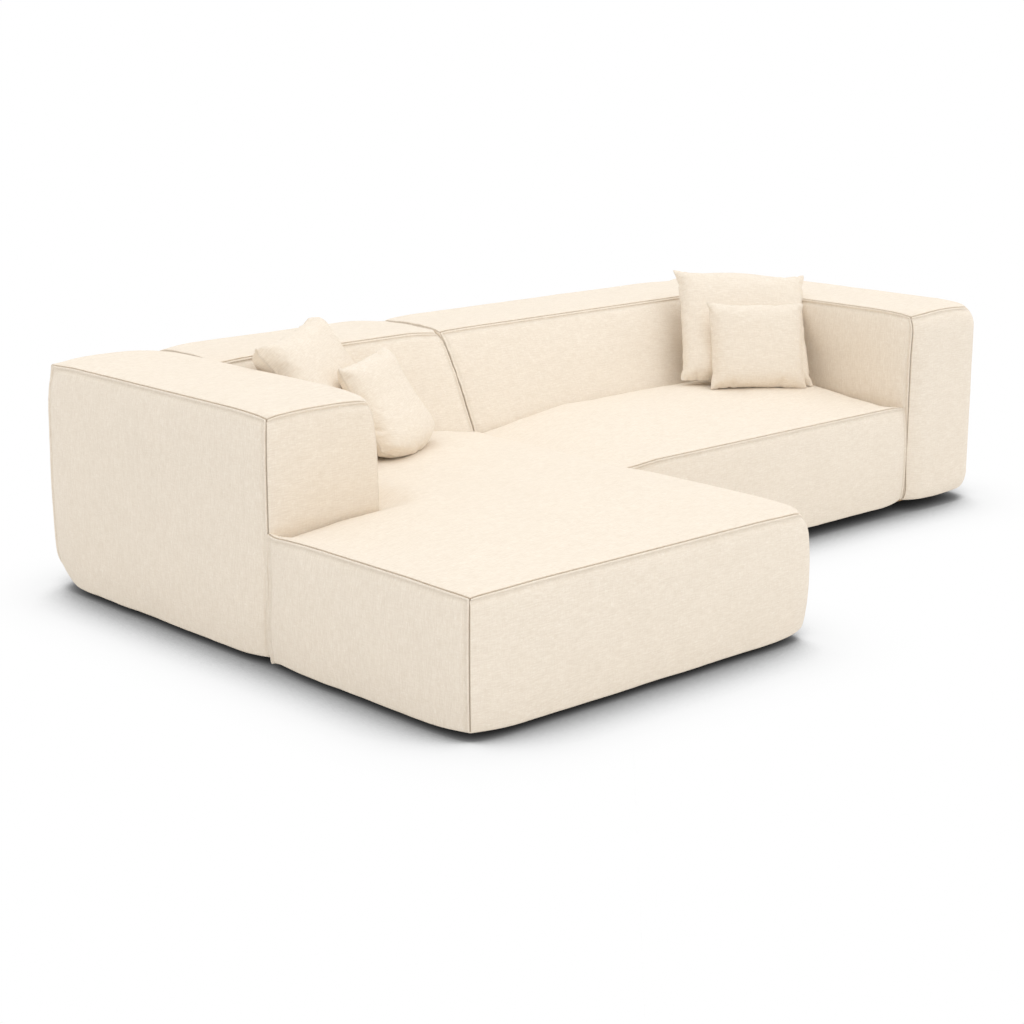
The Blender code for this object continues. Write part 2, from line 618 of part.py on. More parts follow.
def cushion(name, spec, corner, parent, kit):
    """A cover with its zip's slit in the lower seam, and the filling inside it."""
    size, divisions, place, facing, lean, roll = spec
    width, height, thickness = size
    holder = bpy.data.objects.new(name + "_cushion", None)
    kit["parts"].objects.link(holder)
    holder.parent = parent
    turn = Matrix.Rotation(math.radians(facing + 90), 3, "Z")
    tilt = Matrix.Rotation(math.radians(90 - lean), 3, "X")
    spin = Matrix.Rotation(math.radians(roll), 3, "Z")
    holder.rotation_euler = (turn @ tilt @ spin).to_euler()
    start = Vector((corner[0] + place[0], corner[1] + place[1], SEAT_HEIGHT + START_HEIGHT))
    holder.location = start - Vector(towards(facing)) * START_OUT
    cover = mirrored_pillow(name + "_cover", size, divisions, kit["fabric"], holder, kit["parts"])

    def inner(label, gap, finish, group):
        edge = CUSHION_EDGE + gap
        smaller = (width - 2 * edge, height - 2 * edge, thickness - CUSHION_COVER - gap)
        made = mirrored_pillow(label, smaller, divisions, finish, holder, group)
        made.location = (0.0, edge, 0.0)
        return made

    boolean(cover, inner(name + "_space", 0.0, None, kit["cutters"]))
    slit = box((-width * ZIP_SHARE / 2, -CUSHION_EDGE, -ZIP_SLIT / 2),
               (width * ZIP_SHARE / 2, 2 * CUSHION_EDGE, ZIP_SLIT / 2))
    boolean(cover, add(name + "_slit", slit, None, holder, kit["cutters"]))
    inner(name + "_filling", FIT, kit["filling"], kit["parts"])
    return holder, cover


def world_mesh(obj, graph):
    """The object's evaluated mesh in world space, as a bmesh."""
    bm = bmesh.new()
    evaluated = obj.evaluated_get(graph)
    bm.from_mesh(evaluated.to_mesh())
    evaluated.to_mesh_clear()
    bm.transform(evaluated.matrix_world)
    return bm


def along_edges(bm):
    """Points on all its edges, close enough together that no crossing edge is missed."""
    points = []
    for edge in bm.edges:
        start, end = edge.verts[0].co, edge.verts[1].co
        count = max(1, math.ceil((end - start).length / SETTLING_STEP))
        points += [start.lerp(end, i / count) for i in range(count + 1)]
    return points


def settle(holder, cover, carriers, directions):
    """Moves a cushion along each direction in turn until it lies against what carries it."""
    graph = bpy.context.evaluated_depsgraph_get()
    bpy.context.view_layer.update()
    outer = world_mesh(cover, graph)
    around = [world_mesh(obj, graph) for obj in carriers]
    trees = [BVHTree.FromBMesh(bm) for bm in around]
    box_low = Vector([min(v.co[i] for v in outer.verts) - PUSH for i in range(3)])
    box_high = Vector([max(v.co[i] for v in outer.verts) + PUSH for i in range(3)])
    near = [p for bm in around for p in along_edges(bm)
            if all(box_low[i] < p[i] < box_high[i] for i in range(3))]
    moved = Vector((0.0, 0.0, 0.0))
    for direction in directions:
        way = Vector(direction).normalized()
        mine = BVHTree.FromBMesh(outer)
        room = PUSH
        for point in along_edges(outer):
            for tree in trees:
                hit = tree.ray_cast(point, way, PUSH)
                if hit[0] is not None:
                    room = min(room, hit[3])
        for point in near:
            hit = mine.ray_cast(point, -way, PUSH)
            if hit[0] is not None:
                room = min(room, hit[3])
        if room < PUSH:
            shift = way * (room - REST_GAP)
            bmesh.ops.translate(outer, verts=outer.verts, vec=shift)
            moved += shift
    holder.location += moved
    bpy.context.view_layer.update()
    gap = min(tree.find_nearest(p)[3] for p in along_edges(outer) for tree in trees)
    print(f"{holder.name}: {gap * 1000:.2f} mm from what carries it")
    for bm in (outer, *around):
        bm.free()


def towards(facing):
    """The level direction in which a cushion leans, opposite to the way it faces."""
    angle = math.radians(facing + 180)
    return (math.cos(angle), math.sin(angle), 0.0)


def main():
    clear_scene()
    kit = {
        "parts": collection("l_shaped_sofa"),
        "cutters": collection("cutters"),
        "fabric": material("cream weave", (0.86, 0.80, 0.70), 0.95),
        "foam": material("foam", (0.85, 0.80, 0.55), 1.0),
        "filling": material("white fill", (0.90, 0.90, 0.88), 1.0),
        "timber": material("pine", (0.66, 0.48, 0.28), 0.7),
        "plywood": material("plywood", (0.72, 0.56, 0.36), 0.7),
        "webbing": material("webbing", (0.10, 0.10, 0.11), 0.8),
        "lining": material("dust cover cloth", (0.05, 0.05, 0.05), 1.0),
        "plastic": material("black plastic", (0.03, 0.03, 0.03), 0.5),
        "steel": material("zinc-plated steel", (0.60, 0.61, 0.62), 0.35, 1.0),
    }
    sofa = bpy.data.objects.new("sofa", None)
    kit["parts"].objects.link(sofa)
    sofa.location = (-SOFA_WIDTH / 2, CHAISE_DEPTH / 2, 0.0)
    right_module = bpy.data.objects.new("right_module", None)
    kit["parts"].objects.link(right_module)
    right_module.parent = sofa

    chaise = Module(0.0, CHAISE_RIGHT, CHAISE_DEPTH)
    seat = Module(SEAT_LEFT, SOFA_WIDTH, SEAT_DEPTH)
    chaise_zone = add("chaise_base_space", chaise.zone(), None, sofa, kit["cutters"])
    seat_zone = add("right_base_space", seat.zone(), None, right_module, kit["cutters"])
    left_arm = arm_space(0.0, LEFT_ARM_WIDTH, -LEFT_ARM_LENGTH, 0.0)
    right_arm = arm_space(RIGHT_ARM_LEFT, SOFA_WIDTH, -SEAT_DEPTH, 0.0)
    left_back = (LEFT_ARM_WIDTH + BLOCK_GAP + HIDDEN_PAD, CHAISE_RIGHT - SIDE_PAD)
    right_back = (SEAT_LEFT + SIDE_PAD, RIGHT_ARM_LEFT - BLOCK_GAP - HIDDEN_PAD)
    spaces = {"left_arm": box(*left_arm), "right_arm": box(*right_arm),
              "left_back": prism(back_profile(), *left_back, X),
              "right_back": prism(back_profile(), *right_back, X)}
    covers = {}
    for name, block in blocks().items():
        on_right = name.startswith("right")
        covers[name] = upholster(name, block, spaces.get(name), seat_zone if on_right else chaise_zone,
                                 right_module if on_right else sofa, kit)

    left_centre = left_arm[1][X] - FIT - PANEL
    right_centre = right_arm[0][X] + FIT + PANEL - CENTRE_RAIL_WIDTH
    base_frame("chaise", chaise, left_centre, sofa, kit)
    base_frame("right", seat, right_centre, right_module, kit)
    arm_frame("left_arm", left_arm, sofa, kit, True)
    arm_frame("right_arm", right_arm, right_module, kit, False)
    back_frame("left_back", *left_back, sofa, kit)
    back_frame("right_back", *right_back, right_module, kit)

    web_rear = -BACK_FOOT_DEPTH + SIDE_PAD - FIT
    web_left = left_arm[1][X] + FIT
    web_step = left_arm[0][Y] - FIT
    webbing("chaise", [(chaise.x0 + FIT, chaise.y0 + FIT), (chaise.x1 - FIT, chaise.y0 + FIT),
                       (chaise.x1 - FIT, web_rear), (web_left, web_rear), (web_left, web_step),
                       (chaise.x0 + FIT, web_step)], sofa, kit)
    webbing("right", rectangle(seat.x0 + FIT, right_arm[0][X] - FIT, seat.y0 + FIT, web_rear),
            right_module, kit)
    middle = left_centre + CENTRE_RAIL_WIDTH / 2
    feet("chaise", chaise, [(middle, -CHAISE_DEPTH / 2)], sofa, kit)
    feet("right", seat, [], right_module, kit)
    connectors(chaise, seat, sofa, right_module, kit)

    for side, root in (("right", right_module), ("left", sofa)):
        carriers = [covers["chaise_seat"] if side == "left" else covers["right_seat"],
                    covers[side + "_back"], covers[side + "_arm"]]
        corner = (LEFT_ARM_WIDTH if side == "left" else RIGHT_ARM_LEFT, -BACK_FOOT_DEPTH)
        for size in ("_large", "_small"):
            spec = CUSHIONS[side + size]
            holder, cover = cushion(side + size, spec, corner, root, kit)
            lean = towards(spec[3])
            settle(holder, cover, carriers, [(0, 0, -1), lean] * SETTLING_ROUNDS)
            carriers.append(cover)


main()
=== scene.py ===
"""The looks of an L-shaped modular sofa in cream weave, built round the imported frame.

Lengths are metres and Z is up. The upholstered blocks are worked out in sofa coordinates: X runs
right from the sofa's left side, Y is 0 at its rear and negative towards the front, Z is 0 on the
floor. ORIGIN moves those to the frame, whose origin is the middle of the sofa's footprint.
"""

import math
from collections import namedtuple

import bpy
import numpy as np
from mathutils import Euler, Matrix, Vector
from mathutils.bvhtree import BVHTree


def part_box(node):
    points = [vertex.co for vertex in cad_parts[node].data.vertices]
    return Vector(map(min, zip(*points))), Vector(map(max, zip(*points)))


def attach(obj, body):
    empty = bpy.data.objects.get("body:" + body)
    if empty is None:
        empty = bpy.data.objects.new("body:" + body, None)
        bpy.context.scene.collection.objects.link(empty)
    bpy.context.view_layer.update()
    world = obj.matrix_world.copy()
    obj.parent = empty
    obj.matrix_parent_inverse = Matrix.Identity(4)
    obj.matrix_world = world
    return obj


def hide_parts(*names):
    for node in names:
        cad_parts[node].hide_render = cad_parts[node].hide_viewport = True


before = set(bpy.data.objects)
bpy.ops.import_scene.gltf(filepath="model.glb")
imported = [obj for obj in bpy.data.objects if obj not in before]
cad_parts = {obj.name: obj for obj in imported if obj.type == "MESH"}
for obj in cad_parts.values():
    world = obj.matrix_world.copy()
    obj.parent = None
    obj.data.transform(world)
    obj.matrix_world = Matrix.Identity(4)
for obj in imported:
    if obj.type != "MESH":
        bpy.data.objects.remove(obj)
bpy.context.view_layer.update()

X, Y, Z = range(3)
AXIS_SIDES = ((X, "left", "right"), (Y, "front", "rear"), (Z, "bottom", "top"))

# Driving sizes, between the drawn-in corners of the upholstered blocks
SOFA_WIDTH = 3.029
CHAISE_WIDTH = 1.273
CHAISE_DEPTH = 1.891
SEAT_DEPTH = 1.165
BACK_HEIGHT = 0.700
SEAT_HEIGHT = 0.378
FLOOR_GAP = 0.025
LEFT_ARM_WIDTH = 0.366
LEFT_ARM_LENGTH = 1.074
RIGHT_ARM_WIDTH = 0.329
BACK_TOP_DEPTH = 0.304
BACK_FOOT_DEPTH = 0.464
ORIGIN = np.array([-SOFA_WIDTH / 2, CHAISE_DEPTH / 2, 0.0])

# How the padding swells between its corners: how far an edge's middle stands past its corners
SIDE_CROWN = 0.015
TOP_CROWN = 0.012
BOTTOM_CROWN = 0.008
CORNER_REACH = 0.160
CROWN_DEPTH = 0.300
SKIN = 0.010
BLOCK_GAP = 0.0006
MODULE_GAP = 0.003
RIGHT_ARM_LEFT = SOFA_WIDTH - RIGHT_ARM_WIDTH
PRESSED_TO = 0.060  # arms and backs swell down to here, and dent the seats beside them
PRESS_REACH = 0.100
OPEN_FROM = SEAT_HEIGHT - 0.015  # above this, an arm's or back's side beside a seat is in the open
SEAT_DOME = 0.0285  # how far a seat's middle stands above its edges' middles
DOME_REACH = {"left": 0.40, "right": 0.40, "front": 0.50, "rear": 0.50}
FACING_FADE = 0.15  # over this, a seat's dome dies away towards the other module
DIP_REACH = 0.140
EDGE_FADE = 0.050  # a seat is not pulled down beside its neighbours this near its own outer seams

# Seams: two panels meet in a crease, and the allowance is stitched down beside it as a flat band
CREASE = 0.0055
CREASE_WIDTH = 0.0012  # this far from its line, a crease is down to about a third
TIGHT_CREASE = 0.0020  # where a seam lies against the next block
PUFF = 0.0045  # how far a panel stands above its seams
PUFF_REACH = 0.018
BAND = 0.0028
BAND_WIDTH = 0.0085
TROUGH = 0.0030  # the stitches pull the fabric in beside the band
TROUGH_LINE = 0.0125
TROUGH_WIDTH = 0.0055
TROUGH_SHADE = 0.16  # dust and painted shade in the trough, as a share of a seam's painted shade
# Painted shade laid into the fabric's colour in a seam's crease, where shade falls: lighter in the top
# seams, darker in the upright ones
TOP_SEAM_SHADE = 0.45
UPRIGHT_SEAM_SHADE = 0.85
PUCKER = 0.0011  # short folds that run out from a corner seam
PUCKER_REACH = 0.024
PUCKER_LENGTH = 0.026
PUCKER_STRETCH = 5.0
FOLD = 0.011  # radius at the bottom edges, where the fabric turns under
TUCKED_FOLD = 0.022  # radius where a seat's fabric goes down beside the next block
CORNER_FOLD = 0.003  # radius where a wall turns in between two blocks
LEAST_FOLD = 0.0001
HEM = 0.026  # width of the fabric turned under, then it goes up behind the dust cover
HEM_RISE = 0.016
UNDERSIDE = 0.030
UNDERSIDE_REACH = 0.050  # the underside is lifted with what is this close above it
HIDDEN_INSET = 0.0006
MASK_REACH = 0.045

# The padding's random unevenness: the length of its waves, and their height
LUMP_LENGTH = 0.260
LUMP_HEIGHT = 0.0009
DENT_LENGTH = 0.085
DENT_HEIGHT = 0.00035
SEAM_DENT_HEIGHT = 0.0004
SEAM_DENT_SCALE = 2.5  # the dents beside a seam are this much shorter
SEAM_DENT_REACH = 0.030
LUMP_OFFSET = 3.7  # sets each panel's lumps apart from the next one's
WEAVE_OFFSET = 1.7  # and its weave

# How the panels are divided
SEAM_LINES = (0.0, 0.0007, 0.0014, 0.0022, 0.0032, 0.0045, 0.0060, 0.0073, 0.0085, 0.0098, 0.0112,
              0.0128, 0.0150, 0.0180, 0.0220, 0.0280, 0.0350, 0.0430)
PANEL_STEP = 0.012
TUCKED_SHARES = (0.0, 0.12, 0.25, 0.4, 0.6, 0.8, 1.0)
TUCKED_ROOM = 1.2  # other lines keep this many radii away from a tucked fold
TOLERANCE = 1e-7


def rise(distance, reach):
    """0 at a drawn-in corner, 1 from one reach away."""
    share = np.clip(distance / reach, 0.0, 1.0)
    return 1 - (1 - share) ** 2


def smooth(value):
    share = np.clip(value, 0.0, 1.0)
    return share * share * (3 - 2 * share)


def past_span(points, axis, low, high):
    """How far points lie past the ends of a span."""
    return np.maximum(np.maximum(low - points[:, axis], points[:, axis] - high), 0.0)


def grid_quads(index):
    """Quads between the numbered points of a grid."""
    corners = [index[:-1, :-1], index[1:, :-1], index[1:, 1:], index[:-1, 1:]]
    return np.stack(corners, -1).reshape(-1, 4)


def renumbered(faces):
    """The points that faces use, and the faces with those points numbered from 0."""
    used, again = np.unique(faces, return_inverse=True)
    return used, again.reshape(faces.shape)


class Ripples:
    """A smooth random height over a surface, about 1 high, from waves of nearly one length."""

    WAVES = 28

    def __init__(self, seed, length, stretch=1.0):
        rng = np.random.default_rng(seed)
        angle = rng.uniform(0, math.pi, self.WAVES)
        number = 2 * math.pi / (length * rng.uniform(0.7, 1.6, self.WAVES))
        self.u = number * np.cos(angle)
        self.v = number * np.sin(angle) / stretch
        self.phase = rng.uniform(0, 2 * math.pi, self.WAVES)

    def __call__(self, u, v):
        total = np.zeros(len(u))
        for a, b, phase in zip(self.u, self.v, self.phase):
            total += np.cos(a * u + b * v + phase)
        return total / math.sqrt(self.WAVES / 2)


def free(a, b, held=(), crown=SIDE_CROWN, reach=CORNER_REACH):
    """A side that swells over (axis, low, high) twice, held flat at each (axis, level, sign)."""
    return {"spans": (a, b), "held": held, "crown": crown, "reach": reach}


def flat(outline, crown=TOP_CROWN, reach=CORNER_REACH, held=()):
    """A top or bottom that may swell."""
    x0, x1, y0, y1 = outline
    return free((X, x0, x1), (Y, y0, y1), held, crown, reach)


def grid_lines(low, high, notches):
    """Where a panel is divided along one axis: finely beside its seams, evenly between."""
    reach = min(SEAM_LINES[-1], (high - low) / 2)
    near = [d for d in SEAM_LINES if d <= reach]
    count = max(1, round((high - low - 2 * near[-1]) / PANEL_STEP))
    places = [low + d for d in near] + [high - d for d in near]
    places += list(np.linspace(low + near[-1], high - near[-1], count + 1)[1:-1])
    for level in notches:
        room = TUCKED_FOLD * TUCKED_ROOM
        places = [p for p in places if abs(p - level) > room or p in (low, high)]
        places += [level + side * TUCKED_FOLD * share for share in TUCKED_SHARES for side in (-1, 1)]
    return np.unique(np.round(places, 6))


Edge = namedtuple("Edge", "axis level normal fold crease band span", defaults=(0.0, False, None))


class Face:
    """One panel of a block: its plane, the two axes across it, and the edges round it."""

    def __init__(self, kind, axis, sign, level, span=None, side=None):
        self.kind, self.axis, self.level = kind, axis, level
        self.span, self.side = span, side
        self.normal = np.array([sign if i == axis else 0.0 for i in range(3)])
        self.across = [i for i in range(3) if i != axis]
        self.edges = []

    def add_edge(self, *values, **more):
        self.edges.append(Edge(*values, **more))

    def distances(self, points):
        """From each edge, along the panel."""
        found = []
        for edge in self.edges:
            away = np.abs(points[:, edge.axis] - edge.level)
            if edge.span:
                away = np.hypot(away, past_span(points, *edge.span))
            found.append(away)
        return found


def groove(distance):
    """1 along the line where a band's stitches pull the fabric in, 0 away from it."""
    return np.exp(-((distance - TROUGH_LINE) / TROUGH_WIDTH) ** 2)


def band_height(distance):
    """The raised band beside a seam, and the trough beyond it."""
    share = np.clip(distance / BAND_WIDTH, 0.0, 1.0)
    raised = BAND * np.sqrt(np.clip(np.sin(math.pi * share), 0.0, 1.0))
    return raised - TROUGH * groove(distance)


class Block:
    """One upholstered block: its outline in plan, its height, and the sides that swell.

    Hidden sides lie against another block of the module, and facing ones against the other module.
    Dips lower a seat's top beside a neighbour: (axis, level, span, depth). Pulls draw a corner in:
    (corner, shift, reach). Pressed holds the sides that dent this block: (block, side, axis, sign,
    span). Depths are a back's, at its foot and top. Share is how much of a seat's dome is left
    where it meets the other module.
    """

    def __init__(self, name, outline, top, sides, hidden=(), facing=(), depths=None, notch=None,
                 foot=FLOOR_GAP, dips=(), pulls=(), pressed=(), seed=0, reaches=None, share=0.0,
                 dome=SEAT_DOME):
        self.name = name
        x0, x1, y0, y1 = outline
        self.low, self.high = (x0, y0, foot), (x1, y1, top)
        self.sides = {"top": flat(outline), "bottom": flat(outline, BOTTOM_CROWN), **sides}
        self.hidden, self.facing = hidden, facing
        self.depths, self.notch = depths, notch
        self.dips, self.pulls, self.pressed = dips, pulls, pressed
        self.is_seat = top == SEAT_HEIGHT
        self.reaches = {**DOME_REACH, **(reaches or {})}
        self.share, self.dome_height = share, dome
        self.lumps = Ripples(seed, LUMP_LENGTH)
        self.dents = Ripples(seed + 1, DENT_LENGTH)
        self.puckers = Ripples(seed + 2, PUCKER_LENGTH, PUCKER_STRETCH)
        self.faces = self.make_faces()

    def swell(self, name, points):
        """How far a side stands out: each edge bows, and the face between is a little fuller."""
        side = self.sides.get(name)
        if side is None:
            return np.zeros(len(points))
        bows = []
        for axis, low, high in side["spans"]:
            reach = min(side["reach"], (high - low) / 2)
            bows.append(rise(np.minimum(points[:, axis] - low, high - points[:, axis]), reach))
        lying = name in ("top", "bottom")
        total = 1 - (1 - bows[0]) * (1 - bows[1]) if lying else bows[0] + bows[1]
        for axis, level, sign in side["held"]:
            total = total * rise(sign * (points[:, axis] - level), CORNER_REACH)
        out = side["crown"] * total
        if name == "top" and self.is_seat:
            out = out + self.dome(points)
        return out

    def dome(self, points):
        """A seat's top: highest in the middle, lower beside the blocks that it stands against."""
        shares = np.ones(len(points))
        for axis, low_side, high_side in AXIS_SIDES[:2]:
            for side, away in ((low_side, points[:, axis] - self.low[axis]),
                               (high_side, self.high[axis] - points[:, axis])):
                if side not in self.hidden:
                    least = self.share * smooth(self.past_open(side, points) / FACING_FADE)
                    shares = shares * (least + (1 - least) * smooth(away / self.reaches[side]))
        height = self.dome_height * shares
        fade = self.from_edges(points)
        for axis, level, span, depth in self.dips:
            away = np.hypot(points[:, axis] - level, past_span(points, *span))
            height = height - depth * fade * (1 - smooth(away / DIP_REACH))
        return height

    def from_edges(self, points):
        """0 at the block's own outer seams, 1 a little inside them."""
        share = np.ones(len(points))
        for axis, low_side, high_side in AXIS_SIDES[:2]:
            for side, level in ((low_side, self.low[axis]), (high_side, self.high[axis])):
                if self.is_open(side):
                    away = np.hypot(points[:, axis] - level, self.past_open(side, points))
                    share = share * smooth(away / EDGE_FADE)
        return share

    def past_open(self, side, points):
        """How far points lie past the stretch of a side that is in the open."""
        past = np.full(len(points), 1.0 if side in self.facing else 0.0)
        for other, stop, sign in self.sides.get(side, {"held": ()})["held"]:
            if other != Z:
                past = np.maximum(past, sign * (stop - points[:, other]))
        return past

    def raked(self, points):
        """A back's front leans away above the seat."""
        moved = points.copy()
        if self.depths:
            foot, top = self.depths
            climb = np.clip((points[:, Z] - SEAT_HEIGHT) / (BACK_HEIGHT - SEAT_HEIGHT), 0.0, 1.0)
            share = np.clip((-points[:, Y] - SKIN) / (foot - 2 * SKIN), 0.0, 1.0)
            moved[:, Y] += (foot - top) * climb * share
        return moved

    def crowned(self, points):
        """The block with its sides swollen, its corners drawn in and its dents."""
        moved = self.raked(points)
        for axis, low_side, high_side in AXIS_SIDES:
            depth = self.high[axis] - self.low[axis]
            depth = depth if axis == Z else min(depth, CROWN_DEPTH)
            from_low = np.maximum(1 - (points[:, axis] - self.low[axis]) / depth, 0.0)
            from_high = np.maximum(1 - (self.high[axis] - points[:, axis]) / depth, 0.0)
            moved[:, axis] -= from_low * self.swell(low_side, points)
            moved[:, axis] += from_high * self.swell(high_side, points)
        return self.dented(points, self.drawn(points, moved))

    def drawn(self, points, moved):
        """The corners drawn in, or a little fold of fabric standing out, where seams meet."""
        for corner, shift, reach in self.pulls:
            away = np.abs(points - corner).sum(1)
            share = np.clip(1 - away / reach, 0.0, 1.0) ** 2
            moved += np.outer(share, shift)
        return moved

    def dented(self, points, moved):
        """A seat gives way where the swollen side of an arm or back is pressed against it."""
        for other, side, axis, sign, (across, low, high) in self.pressed:
            level = other.high[axis] if sign > 0 else other.low[axis]
            touching = points.copy()
            touching[:, axis] = level
            touching[:, across] = np.clip(points[:, across], low, high)
            past = np.abs(points[:, across] - touching[:, across])
            away = np.hypot(points[:, axis] - level, past)
            moved[:, axis] += sign * other.swell(side, touching) * (1 - smooth(away / PRESS_REACH))
        return moved

    def mask(self, face, points):
        """1 where the panel is free, 0 where it lies against another block."""
        if face.kind == "top":
            return np.ones(len(points))
        side = self.sides.get(face.side)
        if side is None or face.kind == "bottom":
            return np.zeros(len(points))
        total = np.ones(len(points))
        for axis, level, sign in side["held"]:
            shown = OPEN_FROM if axis == Z else level
            total *= smooth(sign * (points[:, axis] - shown) / MASK_REACH)
        return total

    def is_open(self, side):
        return not (side in self.hidden or side in self.facing or side.startswith("notch"))

    def make_faces(self):
        """The top, the bottom and the walls, with the edges between them."""
        (x0, y0, z0), (x1, y1, z1) = self.low, self.high
        nx, ny = self.notch or (x0, y1)
        plan = {"left": (X, -1, x0, (Y, y0, ny)), "right": (X, 1, x1, (Y, y0, y1)),
                "front": (Y, -1, y0, (X, x0, x1)), "rear": (Y, 1, y1, (X, nx, x1))}
        if self.notch:
            plan["notch_side"] = (X, -1, nx, (Y, ny, y1))
            plan["notch_front"] = (Y, 1, ny, (X, x0, nx))
        top, bottom = Face("top", Z, 1, z1), Face("bottom", Z, -1, z0)
        walls = [Face("wall", *place, side) for side, place in plan.items()]
        for wall in walls:
            axis, low, high = wall.span
            hidden = not self.is_open(wall.side)
            tucked = self.is_seat and hidden and wall.side not in self.facing
            fold = TUCKED_FOLD if tucked else 0.0
            crease = 0.0 if tucked else (TIGHT_CREASE if hidden else CREASE)
            span = wall.span if self.notch else None
            wall.add_edge(Z, z1, top.normal, fold, crease, band=not hidden)
            wall.add_edge(Z, z0, bottom.normal, FOLD)
            top.add_edge(wall.axis, wall.level, wall.normal, fold, crease, span=span)
            bottom.add_edge(wall.axis, wall.level, wall.normal, FOLD, span=span)
            for end in (low, high):
                other = next(w for w in walls if w.axis == axis and w.level == end
                             and wall.level in w.span[1:])
                other_hidden = not self.is_open(other.side)
                tight = hidden or other_hidden
                band = not hidden and (wall.axis == X or other_hidden)
                between_modules = wall.side in self.facing or other.side in self.facing
                folded = tight and not between_modules
                crease = TIGHT_CREASE if tight else CREASE
                wall.add_edge(axis, end, other.normal, CORNER_FOLD if folded else 0.0,
                              0.0 if folded else crease, band)
        return [*walls, top, bottom]

    def surface(self, face, points):
        """Where a panel's points lie on the finished upholstery, and the painted shade in its seams'
        creases.
        """
        moved = self.crowned(points)
        mask = self.mask(face, points)
        fade = self.from_edges(points)
        pinch, depth, shade, gathers, band, sunk = np.zeros((6, len(points)))
        puff, near, nearest = np.ones((3, len(points)))
        for edge, away in zip(face.edges, face.distances(points)):
            if edge.crease:
                here = np.exp(-((away / CREASE_WIDTH) ** 2))
                depth = np.where(here > pinch, edge.crease, depth)
                pinch = np.maximum(pinch, here)
                if edge.crease == CREASE:
                    puff *= 1 - np.exp(-away / PUFF_REACH)
                moved -= np.outer(edge.crease * here, edge.normal)
                near = np.minimum(near, away)
                # painted shade in the crease, where shade falls; darker in upright seams
                upright = edge.axis != Z and face.kind == "wall"
                darkness = UPRIGHT_SEAM_SHADE if upright else TOP_SEAM_SHADE
                shade = np.maximum(shade, here * darkness)
                if upright:
                    folds = self.puckers(points[:, Z], points[:, edge.axis])
                    gathers += PUCKER * folds * np.exp(-away / PUCKER_REACH)
            if edge.band:
                band = np.where(away < nearest, band_height(away), band)
                nearest = np.minimum(nearest, away)
                # painted shade in the trough beside a band, with some dust
                shade = np.maximum(shade, TROUGH_SHADE * mask * groove(away))
            if edge.fold:
                radius = np.full(len(points), edge.fold)
                if edge.fold == TUCKED_FOLD:
                    radius = np.maximum(radius * fade, LEAST_FOLD)
                angle = (1 - np.clip(away / radius, 0.0, 1.0)) * math.pi / 4
                sunk = np.maximum(sunk, radius * (1 - np.cos(angle)))
                slide = np.where(away < radius, radius * (1 - np.sin(angle)) - away, 0.0)
                moved -= np.outer(slide, edge.normal)
        u, v = (points[:, i] for i in face.across)
        offset = face.level * LUMP_OFFSET
        uneven = LUMP_HEIGHT * self.lumps(u + offset, v) + DENT_HEIGHT * self.dents(u + offset, v)
        by_seam = self.dents(SEAM_DENT_SCALE * u + offset, SEAM_DENT_SCALE * v)
        uneven += SEAM_DENT_HEIGHT * by_seam * np.exp(-near / SEAM_DENT_REACH)
        rest = puff * (PUFF + uneven + gathers) + band
        inset = (1 - mask) * (1 - pinch) * HIDDEN_INSET
        out = (1 - pinch) * mask * rest - pinch * depth - sunk - inset
        if face.kind == "bottom":
            out = -sunk
        moved += np.outer(out, face.normal)
        return self.lifted(points, moved), shade

    def lifted(self, points, moved):
        """Behind the hem, and along hidden walls, the underside lies above the dust cover."""
        away = np.full(len(points), 1.0)
        for face in self.faces:
            if face.kind == "wall" and not (face.side in self.hidden or face.side.startswith("notch")):
                past = past_span(points, *face.span)
                away = np.minimum(away, np.hypot(points[:, face.axis] - face.level, past))
        lift = smooth((away - HEM) / HEM_RISE)
        height = points[:, Z] - self.low[Z]
        near_floor = np.clip(1 - height / UNDERSIDE_REACH, 0.0, 1.0)
        target = UNDERSIDE + height
        moved[:, Z] += lift * near_floor * np.maximum(target - moved[:, Z], 0.0)
        return moved

    def panels(self):
        """(face, lines along its first axis, lines along its second) for each panel."""
        notches = [[level] for level in self.notch or ()] + [[], [], []]
        lines = [grid_lines(*ends) for ends in zip(self.low, self.high, notches)]
        for face in self.faces:
            first, second = (lines[axis] for axis in face.across)
            if face.kind == "wall":
                _, low, high = face.span
                first = first[(first >= low - TOLERANCE) & (first <= high + TOLERANCE)]
            yield face, first, second

    def mesh(self):
        """Points, quads, the weave's coordinates and the painted shade in seams' creases, closed all
        round.
        """
        parts = []
        start = 0
        for face, first, second in self.panels():
            a, b = face.across
            grid_a, grid_b = np.meshgrid(first, second, indexing="ij")
            points = np.full((grid_a.size, 3), face.level, float)
            points[:, a] = grid_a.ravel()
            points[:, b] = grid_b.ravel()
            quads = grid_quads(np.arange(grid_a.size).reshape(grid_a.shape))
            if self.notch and face.kind != "wall":
                middle = points[quads].mean(1)
                quads = quads[~((middle[:, X] < self.notch[0]) & (middle[:, Y] > self.notch[1]))]
            turned = np.cross(np.eye(3)[a], np.eye(3)[b]) @ face.normal < 0
            if turned:
                quads = quads[:, ::-1]
            threads = points[:, [b, a] if face.axis == X else [a, b]]
            weave = threads + face.level * WEAVE_OFFSET
            parts.append((np.round(points, 6), quads + start, weave, *self.surface(face, points)))
            start += len(points)
        base, quads, weave, places, seams = (np.concatenate(part) for part in zip(*parts))
        _, first_at, same = np.unique(base, axis=0, return_index=True, return_inverse=True)
        used, shared = renumbered(same.reshape(-1)[quads])
        at = first_at[used]
        return places[at] + ORIGIN, shared, weave[quads].reshape(-1, 2), seams[at]


def placed(name, data):
    """A new object in the scene."""
    obj = bpy.data.objects.new(name, data)
    bpy.context.scene.collection.objects.link(obj)
    return obj


